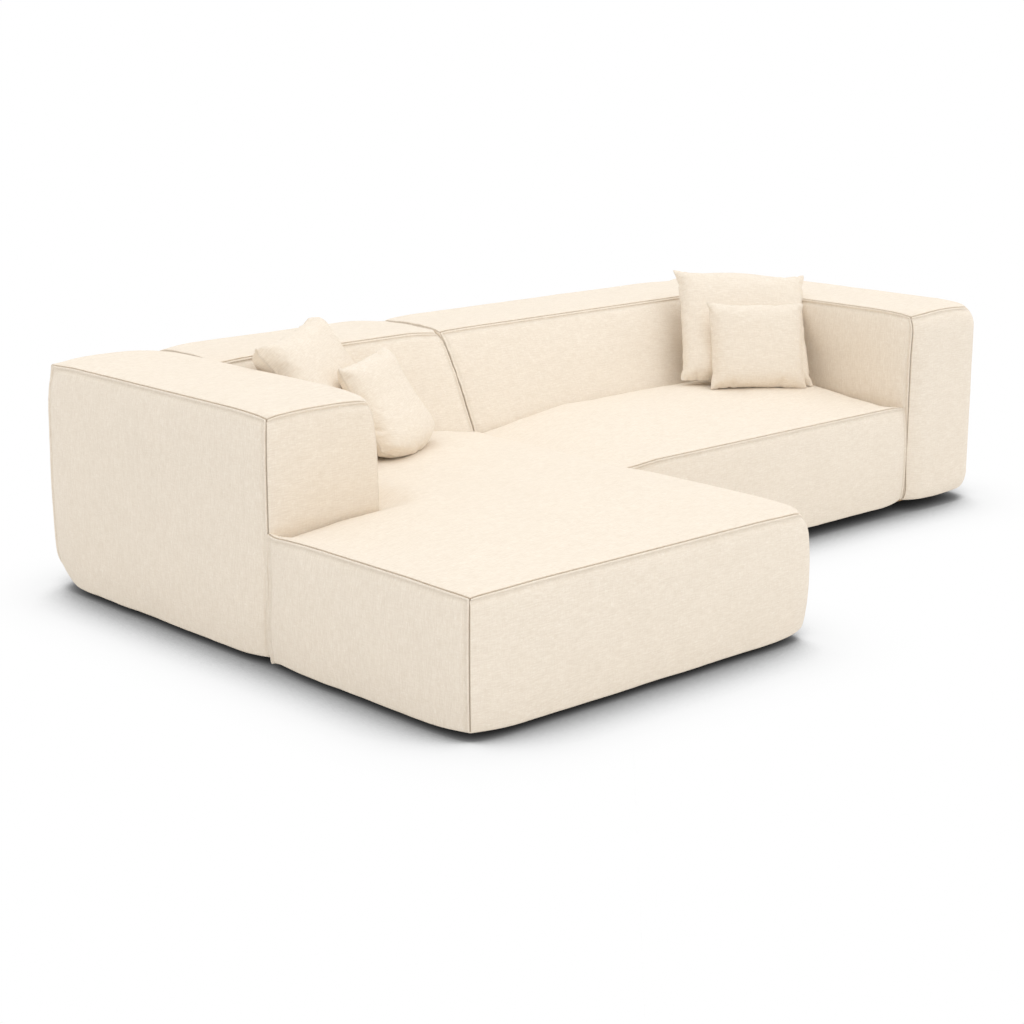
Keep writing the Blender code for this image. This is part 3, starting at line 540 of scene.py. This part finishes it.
def new_mesh(name, points, faces, weave=None, seams=None):
    """An object with the weave's directions as a UV map, and the painted shade that a seam's crease
    gives each point.
    """
    mesh = bpy.data.meshes.new(name)
    mesh.from_pydata(points.tolist(), [], faces.tolist())
    # the seam attribute holds painted shade for the fabric's colour
    if seams is not None:
        layer = mesh.attributes.new("seam", "FLOAT", "POINT")
        layer.data.foreach_set("value", seams.astype(np.float32))
    if weave is not None:
        layer = mesh.uv_layers.new(name="weave")
        layer.data.foreach_set("uv", weave.astype(np.float32).ravel())
    mesh.shade_smooth()
    mesh.update()
    return placed(name, mesh)


RIGHT_FOOT = 0.043  # the right module's covers end a little higher


def corner(outline, right, rear, height, depth, reach=0.05):
    """A corner drawn in by a depth on all three axes: what a Block's pulls hold."""
    x0, x1, y0, y1 = outline
    upper = height > SEAT_HEIGHT / 2
    shift = [-depth if inwards else depth for inwards in (right, rear, upper)]
    return (x1 if right else x0, y1 if rear else y0, height), shift, reach


def make_blocks():
    """The six upholstered blocks, as in the frame.

    Their crowns, dips and pulls are metres, set until the outlines met the photograph's.
    """
    chaise_right = CHAISE_WIDTH - MODULE_GAP / 2
    seat_left = CHAISE_WIDTH + MODULE_GAP / 2
    back_left = LEFT_ARM_WIDTH + BLOCK_GAP
    back_right = RIGHT_ARM_LEFT - BLOCK_GAP
    seat_rear = -BACK_FOOT_DEPTH - BLOCK_GAP
    arm_front = -LEFT_ARM_LENGTH - BLOCK_GAP
    tall = (Z, FLOOR_GAP, BACK_HEIGHT)
    low = (Z, FLOOR_GAP, SEAT_HEIGHT)
    upper = (Z, PRESSED_TO, BACK_HEIGHT)
    rest = ((Z, PRESSED_TO, 1),)
    beside_back = ((Z, PRESSED_TO, 1), (Y, -BACK_FOOT_DEPTH, -1))
    outer = {"crown": 0.0235, "reach": 0.085}
    end_panel = {"crown": 0.0200, "reach": 0.070}
    top, seat = BACK_HEIGHT, SEAT_HEIGHT

    def back(name, outline, hidden, facing, pulls, foot, seed, crown=TOP_CROWN):
        across = (X, outline[0], outline[1])
        level = ((X, outline[1], -1),) if facing == "right" else ()
        sides = {"top": flat(outline, crown, held=level), "rear": free(across, tall),
                 "front": free(across, upper, rest)}
        return Block(name, outline, BACK_HEIGHT, sides, (hidden,), (facing,),
                     depths=(BACK_FOOT_DEPTH, BACK_TOP_DEPTH), pulls=pulls, foot=foot, seed=seed)

    plan = (0.0, LEFT_ARM_WIDTH, -LEFT_ARM_LENGTH, 0.0)
    along, end = (Y, -LEFT_ARM_LENGTH, -BACK_FOOT_DEPTH), (X, 0.0, LEFT_ARM_WIDTH)
    left_arm = Block(
        "left_arm", plan, BACK_HEIGHT,
        {"left": free((Y, -LEFT_ARM_LENGTH, 0.0), tall),
         "right": free(along, upper, beside_back, crown=0.004),
         "front": free(end, upper, rest),
         "rear": free(end, tall, **outer)},
        pulls=(corner(plan, 0, 0, top, 0.005), corner(plan, 1, 0, top, 0.006),
               ((LEFT_ARM_WIDTH, -LEFT_ARM_LENGTH, top), (-0.012, 0.0, 0.0), 0.35),
               ((0.0, 0.0, top), (-0.014, 0.0, 0.007), 0.06),
               ((0.0, 0.0, BACK_HEIGHT / 2), (-0.007, 0.0, 0.0), 0.60),
               ((0.0, 0.0, FLOOR_GAP), (0.016, -0.012, 0.024), 0.11)), seed=10)

    plan = (back_left, chaise_right, -BACK_FOOT_DEPTH, 0.0)
    left_back = back("left_back", plan, "left", "right",
                     (corner(plan, 1, 1, top, 0.004), corner(plan, 1, 0, top, 0.007)), FLOOR_GAP, 20)

    plan = (0.0, chaise_right, -CHAISE_DEPTH, seat_rear)
    before_back = (X, LEFT_ARM_WIDTH, chaise_right)
    beside_arm, nib = (0.0, arm_front, FLOOR_GAP), (0.0, arm_front, SEAT_HEIGHT)
    chaise_seat = Block(
        "chaise_seat", plan, SEAT_HEIGHT,
        {"left": free((Y, -CHAISE_DEPTH, arm_front), low),
         "right": free((Y, -CHAISE_DEPTH, -SEAT_DEPTH), low, ((Y, -SEAT_DEPTH, -1),), crown=0.007),
         "front": free((X, 0.0, chaise_right), low),
         "top": flat((0.0, chaise_right, -CHAISE_DEPTH, arm_front), 0.009, 0.25)},
        hidden=("rear",), notch=(back_left, arm_front),
        dips=((Y, arm_front, end, 0.020), (X, back_left, along, 0.014),
              (Y, seat_rear, before_back, -0.002)),
        pulls=(corner(plan, 0, 0, seat, 0.004), corner(plan, 1, 0, seat, 0.012, 0.07),
               corner(plan, 1, 0, FLOOR_GAP, 0.002), (beside_arm, (-0.004, 0.0, -0.009), 0.055),
               (nib, (-0.015, 0.004, 0.0), CORNER_REACH), (nib, (0.0, 0.0, 0.010), 0.05)),
        reaches={"right": 0.22}, share=0.33,
        pressed=((left_arm, "front", Y, -1, end), (left_arm, "right", X, 1, along),
                 (left_back, "front", Y, -1, before_back)), seed=30)

    # The seam between the right seat and its arm leans left towards the floor
    leaning = ((RIGHT_ARM_LEFT, -SEAT_DEPTH, RIGHT_FOOT), (-0.012, 0.0, 0.0), 0.35)
    plan = (RIGHT_ARM_LEFT, SOFA_WIDTH, -SEAT_DEPTH, 0.0)
    along, end = (Y, -SEAT_DEPTH, -BACK_FOOT_DEPTH), (X, RIGHT_ARM_LEFT, SOFA_WIDTH)
    right_arm = Block(
        "right_arm", plan, BACK_HEIGHT,
        {"left": free(along, upper, beside_back),
         "right": free((Y, -SEAT_DEPTH, 0.0), tall, **end_panel),
         "front": free(end, tall, **end_panel),
         "rear": free(end, tall)},
        pulls=(corner(plan, 0, 0, top, 0.004, 0.06), corner(plan, 1, 0, top, 0.003),
               corner(plan, 1, 1, top, 0.010, 0.07), corner(plan, 1, 0, RIGHT_FOOT, 0.006, 0.06),
               leaning),
        foot=RIGHT_FOOT, seed=40)

    plan = (seat_left, back_right, -BACK_FOOT_DEPTH, 0.0)
    right_back = back("right_back", plan, "right", "left",
                      (corner(plan, 0, 1, top, 0.004), corner(plan, 0, 0, top, 0.003, 0.04)),
                      RIGHT_FOOT, 50, crown=0.006)

    plan = (seat_left, back_right, -SEAT_DEPTH, seat_rear)
    before_back = (X, seat_left, back_right)
    right_seat = Block(
        "right_seat", plan, SEAT_HEIGHT,
        {"front": free(before_back, low),
         "top": flat((seat_left, back_right, -SEAT_DEPTH, seat_rear + CORNER_REACH),
                     held=((X, seat_left, 1),))},
        hidden=("right", "rear"), facing=("left",),
        dips=((X, back_right, along, 0.024), (Y, seat_rear, before_back, 0.003)), dome=0.0405,
        pressed=((right_arm, "left", X, -1, along), (right_back, "front", Y, -1, before_back)),
        pulls=(leaning,), foot=RIGHT_FOOT, seed=60)
    return [left_arm, left_back, chaise_seat, right_arm, right_back, right_seat]


# The cushions: how they are sewn, filled, slumped and laid
FULL_BELOW = 0.20  # share by which a cushion is thicker at its foot than in its middle
TOP_BOW = 0.002  # how far the upper seam's middle is pushed up
SLUMP_FROM = 0.3  # share of the half height above the middle, below which a cushion slumps
BELLY_POWER = 1.5  # how the belly dies away towards the sides
EAR_POWER = 4  # how the lower seam curves up into its corners
BLUNT_POWER = 6  # how near a corner it is made blunt
CUT_SHARE = 1.03  # cloth is drawn in by this much as it is filled
CUSHION_STEP = 0.008
RIM_STEP = 0.003
START_SWELL = 0.012
RIM_SHADE = 0.4  # the painted shade at a cushion's seam is only light
UNEVEN = 0.0005  # random start, from which the gathers grow
SLACK = 0.018  # share by which the cloth is slack, so that it gathers at its seams
SWELLING_FRAMES = 20
CLOTH = {"quality": 6, "mass": 0.1, "air_damping": 3.0, "bending_stiffness": 0.05,
         "shrink_min": -SLACK, "use_pressure": True, "uniform_pressure_force": 4.0}
LOOK_AHEAD = 0.25  # how far off a surface is looked for
RESTING_GAP = 0.0008
SINKS = 0.003  # how far a cushion's foot is flattened by the seat
# Size: width and height between the corners, and thickness, as filled. Lie: facing, lean and roll
# in degrees. Shift: from the middle of the CAD solid. Slump: how far the lower corners curve up, how
# far the belly hangs and comes forward, how blunt the corners are, and by what share they are fuller.
CUSHIONS = {
    "right_large": {"size": (0.484, 0.460, 0.116), "lie": (236.5, 37.3, -4.5),
                    "shift": (0.011, 0.006, 0.0), "slump": (0.007, 0.006, 0.0, 0.0, 0.0)},
    "right_small": {"size": (0.362, 0.314, 0.092), "lie": (241.0, 18.6, -2.4),
                    "shift": (0.030, 0.026, 0.0), "slump": (0.004, 0.002, 0.0, 0.0, 0.0)},
    "left_large": {"size": (0.480, 0.444, 0.130), "lie": (299.6, 39.0, 4.0),
                   "shift": (-0.006, 0.003, 0.0), "slump": (0.012, 0.010, 0.0, 0.006, 1.9)},
    "left_small": {"size": (0.366, 0.320, 0.100), "lie": (296.1, 28.9, 2.4),
                   "shift": (0.0, 0.0, 0.0), "slump": (0.022, 0.042, 0.024, 0.008, 1.2)},
}


def sewn_panels(width, height):
    """Two flat panels that share their rim: cloth coordinates, side, rim, quads and the weave."""

    def stops(length):
        half = length / 2
        inner = np.linspace(RIM_STEP - half, half - RIM_STEP, round(length / CUSHION_STEP))
        return np.concatenate([[-half], inner, [half]])

    x, y = np.meshgrid(stops(width), stops(height), indexing="ij")
    index = np.arange(x.size).reshape(x.shape)
    quads = grid_quads(index)
    rim = np.ones(x.shape, bool)
    rim[1:-1, 1:-1] = False
    behind = np.where(rim, index, index + x.size).reshape(-1)
    used, faces = renumbered(np.concatenate([quads, behind[quads][:, ::-1]]))
    sheet = np.stack([x, y], -1).reshape(-1, 2)
    side = np.where(used < x.size, 1.0, -1.0)
    at = used % x.size
    weave = np.concatenate([sheet[quads], sheet[quads][:, ::-1] + width]).reshape(-1, 2)
    return sheet[at], side, rim.ravel()[at], faces, weave


def inflated(points, faces, thickness):
    """Cloth simulation: pressure swells the sewn panels until they are as thick as the filling."""
    obj = new_mesh("swelling", points, faces)
    cloth = obj.modifiers.new("Cloth", "CLOTH")
    for key, value in CLOTH.items():
        setattr(cloth.settings, key, value)
    cloth.settings.effector_weights.gravity = 0.0
    cloth.point_cache.frame_end = SWELLING_FRAMES
    scene = bpy.context.scene
    places = np.empty(3 * len(points), np.float32)
    for number in range(1, SWELLING_FRAMES + 1):
        scene.frame_set(number)
        swollen = obj.evaluated_get(bpy.context.evaluated_depsgraph_get()).data
        swollen.vertices.foreach_get("co", places)
        if np.ptp(places[Z::3]) > thickness:
            break
    bpy.data.objects.remove(obj)
    scene.frame_set(1)
    return places.reshape(-1, 3).astype(float)


def slumped(places, cloth, size, slump):
    """Brought to its size between the corners, then fuller below, with its lower seam bowed."""
    width, height, thickness = size
    ear, belly, forward, blunt, full = slump
    across, up = (cloth / np.abs(cloth).max(0)).T
    at_corner = np.abs(across * up) == 1
    half_width, half_height, _ = np.abs(places[at_corner]).mean(0)
    places = places * (width / 2 / half_width, height / 2 / half_height,
                       thickness / np.ptp(places[:, Z]))
    places[:, Z] *= 1 - FULL_BELOW * up
    low, high = smooth((SLUMP_FROM - up) / (SLUMP_FROM + 1)), smooth(up)
    middle = 1 - np.abs(across) ** BELLY_POWER
    places[:, Y] += low * (ear * across ** EAR_POWER - belly * middle) + high * TOP_BOW * middle
    places[:, Z] *= 1 + full * (across * up) ** 2
    places[:, Z] += low * forward * middle
    near_corner = (across * up) ** BLUNT_POWER
    places[:, X] -= blunt * near_corner * np.sign(across)
    places[:, Y] -= blunt * near_corner * np.sign(up)
    return places


def kept_clear(points, way, trees):
    """Points that lie beyond a surface, looking along the way, move back out in front of it."""
    way = Vector(way)
    for number, point in enumerate(points):
        start = Vector(point) - way * LOOK_AHEAD
        room = LOOK_AHEAD
        for tree in trees:
            distance = tree.ray_cast(start, way, LOOK_AHEAD + RESTING_GAP)[3]
            if distance is not None:
                room = min(room, distance - RESTING_GAP)
        points[number] = start + way * room
    return points


def height_above(points, tree):
    """How far points would fall before the first meets a surface; below 0 if one is under it."""
    lift = Vector((0.0, 0.0, LOOK_AHEAD))
    drops = [tree.ray_cast(Vector(point) + lift, -lift)[3] for point in points]
    return min(drop for drop in drops if drop is not None) - LOOK_AHEAD


def surface_tree(obj):
    mesh = obj.data
    return BVHTree.FromPolygons([v.co for v in mesh.vertices], [p.vertices for p in mesh.polygons])


def make_cushion(name, spec, finish, seat, behind):
    """A filled cushion at its CAD solid's place, on the seat and against what is behind it."""
    width, height, thickness = spec["size"]
    facing, lean, roll = spec["lie"]
    cloth, side, rim, faces, weave = sewn_panels(width * CUT_SHARE, height * CUT_SHARE)
    middle = 1 - (cloth / np.abs(cloth).max(0)) ** 2
    swell = side * START_SWELL * np.sqrt(middle.prod(1))
    points = np.column_stack([cloth, swell])
    seed = list(CUSHIONS).index(name) + 1
    points += np.random.default_rng(seed).normal(0.0, UNEVEN, points.shape)
    places = slumped(inflated(points, faces, thickness), cloth, spec["size"], spec["slump"])
    # the rim's painted shade goes in as the seam attribute
    coarse = new_mesh(name + "_coarse", places, faces, weave, rim * RIM_SHADE)
    finer = coarse.modifiers.new("finer", "SUBSURF")
    finer.levels = finer.render_levels = 1
    graph = bpy.context.evaluated_depsgraph_get()
    mesh = bpy.data.meshes.new_from_object(coarse.evaluated_get(graph))
    bpy.data.objects.remove(coarse)
    turn = Matrix.Rotation(math.radians(facing + 90), 3, "Z")
    tilt = Matrix.Rotation(math.radians(90 - lean), 3, "X")
    spin = Matrix.Rotation(math.radians(roll), 3, "Z")
    low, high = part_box(name + "_cover")
    points = np.empty(3 * len(mesh.vertices), np.float32)
    mesh.vertices.foreach_get("co", points)
    turned = points.reshape(-1, 3) @ np.array(turn @ tilt @ spin).T
    points = turned + np.array((low + high) / 2) + spec["shift"]
    leaning = math.radians(facing + 180)
    points = kept_clear(points, (math.cos(leaning), math.sin(leaning), 0.0), behind)
    points[:, Z] -= height_above(points, seat) + SINKS
    points = kept_clear(points, (0.0, 0.0, -1.0), [seat])
    mesh.vertices.foreach_set("co", points.astype(np.float32).ravel())
    mesh.update()
    mesh.shade_smooth()
    mesh.name = name + "_cushion"
    mesh.materials.append(finish)
    return placed(name + "_cushion", mesh)


class Nodes:
    """Short calls for building the nodes of a material or of the world."""

    def __init__(self, tree):
        self.tree = tree
        self.shader = tree.nodes.get("Principled BSDF")

    def add(self, kind, **settings):
        node = self.tree.nodes.new(kind)
        for key, value in settings.items():
            setattr(node, key, value)
        return node

    def link(self, start, end):
        self.tree.links.new(start, end)

    def value(self, start, socket):
        """A number or colour is set on the socket, and anything else is linked to it."""
        if isinstance(start, (int, float, tuple)):
            socket.default_value = start
        else:
            self.link(start, socket)

    def math(self, operation, a, b=0.0):
        node = self.add("ShaderNodeMath", operation=operation)
        self.value(a, node.inputs[0])
        self.value(b, node.inputs[1])
        return node.outputs[0]

    def vector(self, x, y, z=0.0):
        node = self.add("ShaderNodeCombineXYZ")
        for start, socket in zip((x, y, z), node.inputs):
            self.value(start, socket)
        return node.outputs[0]

    def noise(self, vector, scale=1.0, detail=2.0, roughness=0.5):
        node = self.add("ShaderNodeTexNoise")
        self.value(vector, node.inputs["Vector"])
        node.inputs["Scale"].default_value = scale
        node.inputs["Detail"].default_value = detail
        node.inputs["Roughness"].default_value = roughness
        return node.outputs["Fac"]

    def marks(self, u, v, scales, detail=2.0, roughness=0.5):
        """Noise drawn out along the threads: scales along u and v, and a layer of its own."""
        along, across, layer = scales
        drawn = self.vector(self.math("MULTIPLY", u, along), self.math("MULTIPLY", v, across), layer)
        return self.noise(drawn, 1.0, detail, roughness)

    def here(self):
        """The place on the object."""
        return self.add("ShaderNodeTexCoord").outputs["Object"]

    def spread(self, value, low, high, to_low=0.0, to_high=1.0):
        node = self.add("ShaderNodeMapRange")
        self.value(value, node.inputs["Value"])
        for name, number in (("From Min", low), ("From Max", high),
                             ("To Min", to_low), ("To Max", to_high)):
            node.inputs[name].default_value = number
        return node.outputs["Result"]

    def mix(self, factor, a, b):
        node = self.add("ShaderNodeMix", data_type="RGBA")
        self.value(factor, node.inputs["Factor"])
        self.value((*a, 1.0) if isinstance(a, tuple) else a, node.inputs[6])
        self.value((*b, 1.0) if isinstance(b, tuple) else b, node.inputs[7])
        return node.outputs[2]

    def colour(self, value, low, high, light, dark):
        """The surface's colour: light where a value is low, and dark where it is high."""
        mixed = self.mix(self.spread(value, low, high), light, dark)
        self.link(mixed, self.shader.inputs["Base Color"])

    def seen(self):
        """1 for what is seen straight, in a reflection or through glass, 0 for light on things."""
        path = self.add("ShaderNodeLightPath")
        seen = self.math("MAXIMUM", path.outputs["Is Camera Ray"], path.outputs["Is Glossy Ray"])
        return self.math("MAXIMUM", seen, path.outputs["Is Transmission Ray"])

    def mix_shaders(self, factor, a, b):
        node = self.add("ShaderNodeMixShader")
        for start, socket in zip((factor, a, b), node.inputs):
            self.link(start, socket)
        return node.outputs[0]

    def bump(self, height, strength, distance):
        node = self.add("ShaderNodeBump")
        node.inputs["Strength"].default_value = strength
        node.inputs["Distance"].default_value = distance
        self.link(height, node.inputs["Height"])
        self.link(node.outputs["Normal"], self.shader.inputs["Normal"])


def new_material(name, roughness, metallic=0.0):
    """A material and its nodes."""
    made = bpy.data.materials.new(name)
    made.use_nodes = True
    n = Nodes(made.node_tree)
    n.shader.inputs["Roughness"].default_value = roughness
    n.shader.inputs["Metallic"].default_value = metallic
    return made, n


THREAD = 0.0016  # from one thread to the next but one
THREAD_WANDER = 0.0008
# Marks in the weave: scales along u and v, and a layer of its own
LONG_SLUBS = (38.0, 300.0, 0.0)
TALL_SLUBS = (300.0, 38.0, 7.0)
FLECKS = (95.0, 210.0, 3.0)
PATCHES = (18.0, 58.0, 5.0)
EVENNESS = 0.66  # share of plain cream laid over the slubs' light and dark
CREAM = (0.905, 0.808, 0.682)
CREAM_LIGHT = (0.985, 0.910, 0.800)
CREAM_DARK = (0.760, 0.655, 0.530)
# The colour of the painted shade in the seams' creases
SEAM_SHADE = (0.480, 0.420, 0.350)


def woven_fabric():
    """Cream linen-like weave: thick and thin threads both ways, with pale and dark flecks, and painted
    shade in the seams' creases.
    """
    made, n = new_material("cream weave", 0.95)
    uv = n.add("ShaderNodeUVMap", uv_map="weave")
    split = n.add("ShaderNodeSeparateXYZ")
    n.link(uv.outputs[0], split.inputs[0])
    u, v = split.outputs[0], split.outputs[1]
    wander = n.noise(uv.outputs[0], 90.0, 1.0)
    bend = n.math("MULTIPLY", wander, THREAD_WANDER)
    turn = 2 * math.pi / THREAD
    warp = n.math("SINE", n.math("MULTIPLY", n.math("ADD", u, bend), turn))
    weft = n.math("SINE", n.math("MULTIPLY", n.math("ADD", v, bend), turn))
    over = n.math("MULTIPLY", warp, weft)
    long_slubs = n.math("MULTIPLY", n.marks(u, v, LONG_SLUBS, 3.0, 0.6), 1.25)
    tall_slubs = n.math("MULTIPLY", n.marks(u, v, TALL_SLUBS, 3.0, 0.6), 0.75)
    slubs = n.math("ADD", long_slubs, tall_slubs)
    flecks = n.marks(u, v, FLECKS, 1.5)
    patches = n.marks(u, v, PATCHES)
    cloud = n.noise(uv.outputs[0], 7.0, 3.0)
    body = n.mix(n.spread(slubs, 0.80, 1.20), CREAM_DARK, CREAM_LIGHT)
    even = n.mix(EVENNESS, body, CREAM)
    fleck = n.mix(n.spread(flecks, 0.61, 0.71, 0.0, 0.70), even, CREAM_LIGHT)
    speck = n.mix(n.spread(flecks, 0.36, 0.26, 0.0, 0.30), fleck, CREAM_DARK)
    mottled = n.mix(n.spread(patches, 0.35, 0.65, 0.0, 0.18), speck, CREAM_DARK)
    tint = n.mix(n.spread(cloud, 0.3, 0.7, 0.0, 0.08), mottled, CREAM_DARK)
    # painted shade: the colour darkens towards SEAM_SHADE in the seams' creases
    seam = n.add("ShaderNodeAttribute", attribute_name="seam").outputs["Fac"]
    n.link(n.mix(n.math("MULTIPLY", seam, 0.75), tint, SEAM_SHADE), n.shader.inputs["Base Color"])
    height = n.math("ADD", n.math("MULTIPLY", over, 0.25), n.math("MULTIPLY", slubs, 1.6))
    n.bump(height, 0.50, 0.0010)
    n.shader.inputs["Sheen Weight"].default_value = 0.12
    n.shader.inputs["Sheen Roughness"].default_value = 0.5
    n.shader.inputs["Specular IOR Level"].default_value = 0.15
    return made


def grained(name, light, dark, roughness, scale, stretch):
    """Wood: streaks along one axis."""
    made, n = new_material(name, roughness)
    squeeze = n.add("ShaderNodeMapping")
    n.link(n.here(), squeeze.inputs["Vector"])
    squeeze.inputs["Scale"].default_value = stretch
    streaks = n.noise(squeeze.outputs[0], scale, 4.0, 0.6)
    n.colour(streaks, 0.35, 0.65, light, dark)
    n.bump(streaks, 0.15, 0.0004)
    return made


STRAP_RIBS = 1800.0


def woven_strap():
    """Black elastic webbing, ribbed both ways."""
    made, n = new_material("elastic webbing", 0.85)
    split = n.add("ShaderNodeSeparateXYZ")
    n.link(n.here(), split.inputs[0])
    ribs = n.math("SINE", n.math("MULTIPLY", split.outputs[0], STRAP_RIBS))
    cross = n.math("SINE", n.math("MULTIPLY", split.outputs[1], STRAP_RIBS))
    height = n.math("MULTIPLY", ribs, cross)
    n.colour(height, -1.0, 1.0, (0.03, 0.03, 0.035), (0.09, 0.09, 0.10))
    n.bump(height, 0.4, 0.0004)
    return made


def felted(name, light, dark, roughness, scale, bump):
    """Lining cloth, or grained plastic: fine marks without a direction."""
    made, n = new_material(name, roughness)
    fibres = n.noise(n.here(), scale, 5.0, 0.7)
    n.colour(fibres, 0.3, 0.7, light, dark)
    n.bump(fibres, bump, 0.0004)
    return made


def plated_steel():
    """Zinc plate, in cells of slightly different gloss."""
    made, n = new_material("zinc-plated steel", 0.35, 1.0)
    cells = n.noise(n.here(), 160.0, 3.0)
    n.colour(cells, 0.3, 0.7, (0.52, 0.53, 0.55), (0.68, 0.69, 0.70))
    n.link(n.spread(cells, 0.3, 0.7, 0.28, 0.45), n.shader.inputs["Roughness"])
    return made


def finish_frame():
    """Materials for the CAD pieces that stay."""
    pine = grained("pine", (0.62, 0.42, 0.23), (0.48, 0.30, 0.15), 0.65, 14.0, (1.0, 1.0, 9.0))
    plywood = grained("plywood", (0.66, 0.48, 0.28), (0.55, 0.38, 0.21), 0.6, 10.0, (1.0, 1.0, 14.0))
    strap = woven_strap()
    lining = felted("dust cover cloth", (0.035, 0.035, 0.035), (0.015, 0.015, 0.015), 1.0, 900.0, 0.4)
    plastic = felted("black plastic", (0.030, 0.030, 0.032), (0.022, 0.022, 0.024), 0.45, 300.0, 0.1)
    steel = plated_steel()
    kinds = (("rail", pine), ("panel", plywood), ("board", plywood), ("webbing", strap),
             ("dust_cover", lining), ("foot", plastic), ("connector", steel))
    for name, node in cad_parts.items():
        for word, finish in kinds:
            if word in name:
                node.data.materials.clear()
                node.data.materials.append(finish)


# The camera, fitted to the photograph: metres, degrees and millimetres
CAMERA_PLACE = (-4.7814, -4.6373, 1.8345)
CAMERA_PITCH = 75.852
CAMERA_YAW = -42.703
CAMERA_LENS = 74.18
CAMERA_SENSOR = 36.0
CAMERA_SEES = 60.0


def make_camera():
    data = bpy.data.cameras.new("camera")
    data.lens = CAMERA_LENS
    data.sensor_width = CAMERA_SENSOR
    data.clip_end = CAMERA_SEES
    camera = placed("camera", data)
    camera.location = CAMERA_PLACE
    camera.rotation_euler = Euler((math.radians(CAMERA_PITCH), 0.0, math.radians(CAMERA_YAW)))
    bpy.context.scene.camera = camera


SUN_SPREAD = 90.0  # degrees


def make_sun(name, place, strength):
    """A far lamp that shines from place towards the middle of the sofa."""
    data = bpy.data.lights.new(name, "SUN")
    data.energy = strength
    data.angle = math.radians(SUN_SPREAD)
    lamp = placed(name, data)
    lamp.location = place
    lamp.rotation_euler = (-Vector(place)).to_track_quat("-Z", "Y").to_euler()


WORLD_LIGHT = 0.822
WHITE = (1.0, 1.0, 1.0, 1.0)


def make_world():
    """Even white light, and plain white behind the object."""
    world = bpy.data.worlds.new("world")
    bpy.context.scene.world = world
    world.use_nodes = True
    world.node_tree.nodes.clear()
    n = Nodes(world.node_tree)
    lit = n.add("ShaderNodeBackground")
    shown = n.add("ShaderNodeBackground")
    for node, strength in ((lit, WORLD_LIGHT), (shown, 1.0)):
        node.inputs["Color"].default_value = WHITE
        node.inputs["Strength"].default_value = strength
    mixed = n.mix_shaders(n.seen(), lit.outputs[0], shown.outputs[0])
    n.link(mixed, n.add("ShaderNodeOutputWorld").inputs["Surface"])


FLOOR_SIZE = 40.0  # from its middle to its sides
FLOOR_COLOUR = (0.84, 0.84, 0.84, 1.0)
SHADOW_REACH = 0.35
SHADOW_SAMPLES = 16
# How open the floor is to its surroundings, and how light its painted shadow leaves it there
SHADOW_LEVELS = ((0.10, 0.03), (0.45, 0.19), (0.55, 0.43), (0.60, 0.62), (0.67, 0.78), (0.74, 0.92),
                 (0.88, 0.985), (1.0, 1.0))


def make_floor():
    """White where it is seen, with a painted shadow that darkens it close to the object, and pale to
    other light.
    """
    corners = np.array([(-1, -1, 0), (1, -1, 0), (1, 1, 0), (-1, 1, 0)])
    floor = new_mesh("floor", FLOOR_SIZE * corners, np.array([[0, 1, 2, 3]]))
    made, n = new_material("white floor", 1.0)
    n.shader.inputs["Base Color"].default_value = FLOOR_COLOUR
    n.shader.inputs["Specular IOR Level"].default_value = 0.0
    nearness = n.add("ShaderNodeAmbientOcclusion", samples=SHADOW_SAMPLES)
    nearness.inputs["Distance"].default_value = SHADOW_REACH
    shadow = n.add("ShaderNodeValToRGB")
    ramp = shadow.color_ramp
    ramp.elements.remove(ramp.elements[1])
    ramp.elements[0].color = (0.0, 0.0, 0.0, 1.0)
    for place, level in SHADOW_LEVELS:
        stop = ramp.elements.new(place)
        stop.color = (level, level, level, 1.0)
    n.link(nearness.outputs["AO"], shadow.inputs["Fac"])
    # what is seen is a glow darkened by the painted shadow; other light meets the pale diffuse floor
    shown = n.add("ShaderNodeEmission")
    n.link(shadow.outputs["Color"], shown.inputs["Color"])
    both = n.mix_shaders(n.seen(), n.shader.outputs[0], shown.outputs[0])
    n.link(both, n.tree.nodes["Material Output"].inputs["Surface"])
    floor.data.materials.append(made)


def main():
    scene = bpy.context.scene
    scene.view_settings.view_transform = "Standard"
    make_camera()
    make_world()
    make_floor()
    make_sun("overhead", (0.3, -0.5, 4.0), 1.09)
    make_sun("front", (2.0, -5.0, 2.5), 0.16)
    fabric = woven_fabric()
    finish_frame()
    trees = {}
    for block in make_blocks():
        obj = new_mesh(block.name, *block.mesh())
        trees[block.name] = surface_tree(obj)
        obj.data.materials.append(fabric)
        body = "right_module" if block.name.startswith("right") else "chaise_module"
        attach(obj, body)
        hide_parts(block.name + "_cover", block.name + "_foam")
    for name, spec in CUSHIONS.items():
        side = name.split("_")[0]
        seat = trees["right_seat" if side == "right" else "chaise_seat"]
        nearby = (side + "_back", side + "_arm", side + "_large")
        behind = [trees[other] for other in trees if other in nearby]
        obj = make_cushion(name, spec, fabric, seat, behind)
        trees[name] = surface_tree(obj)
        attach(obj, name + "_cushion")
        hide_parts(name + "_cover", name + "_filling")


main()
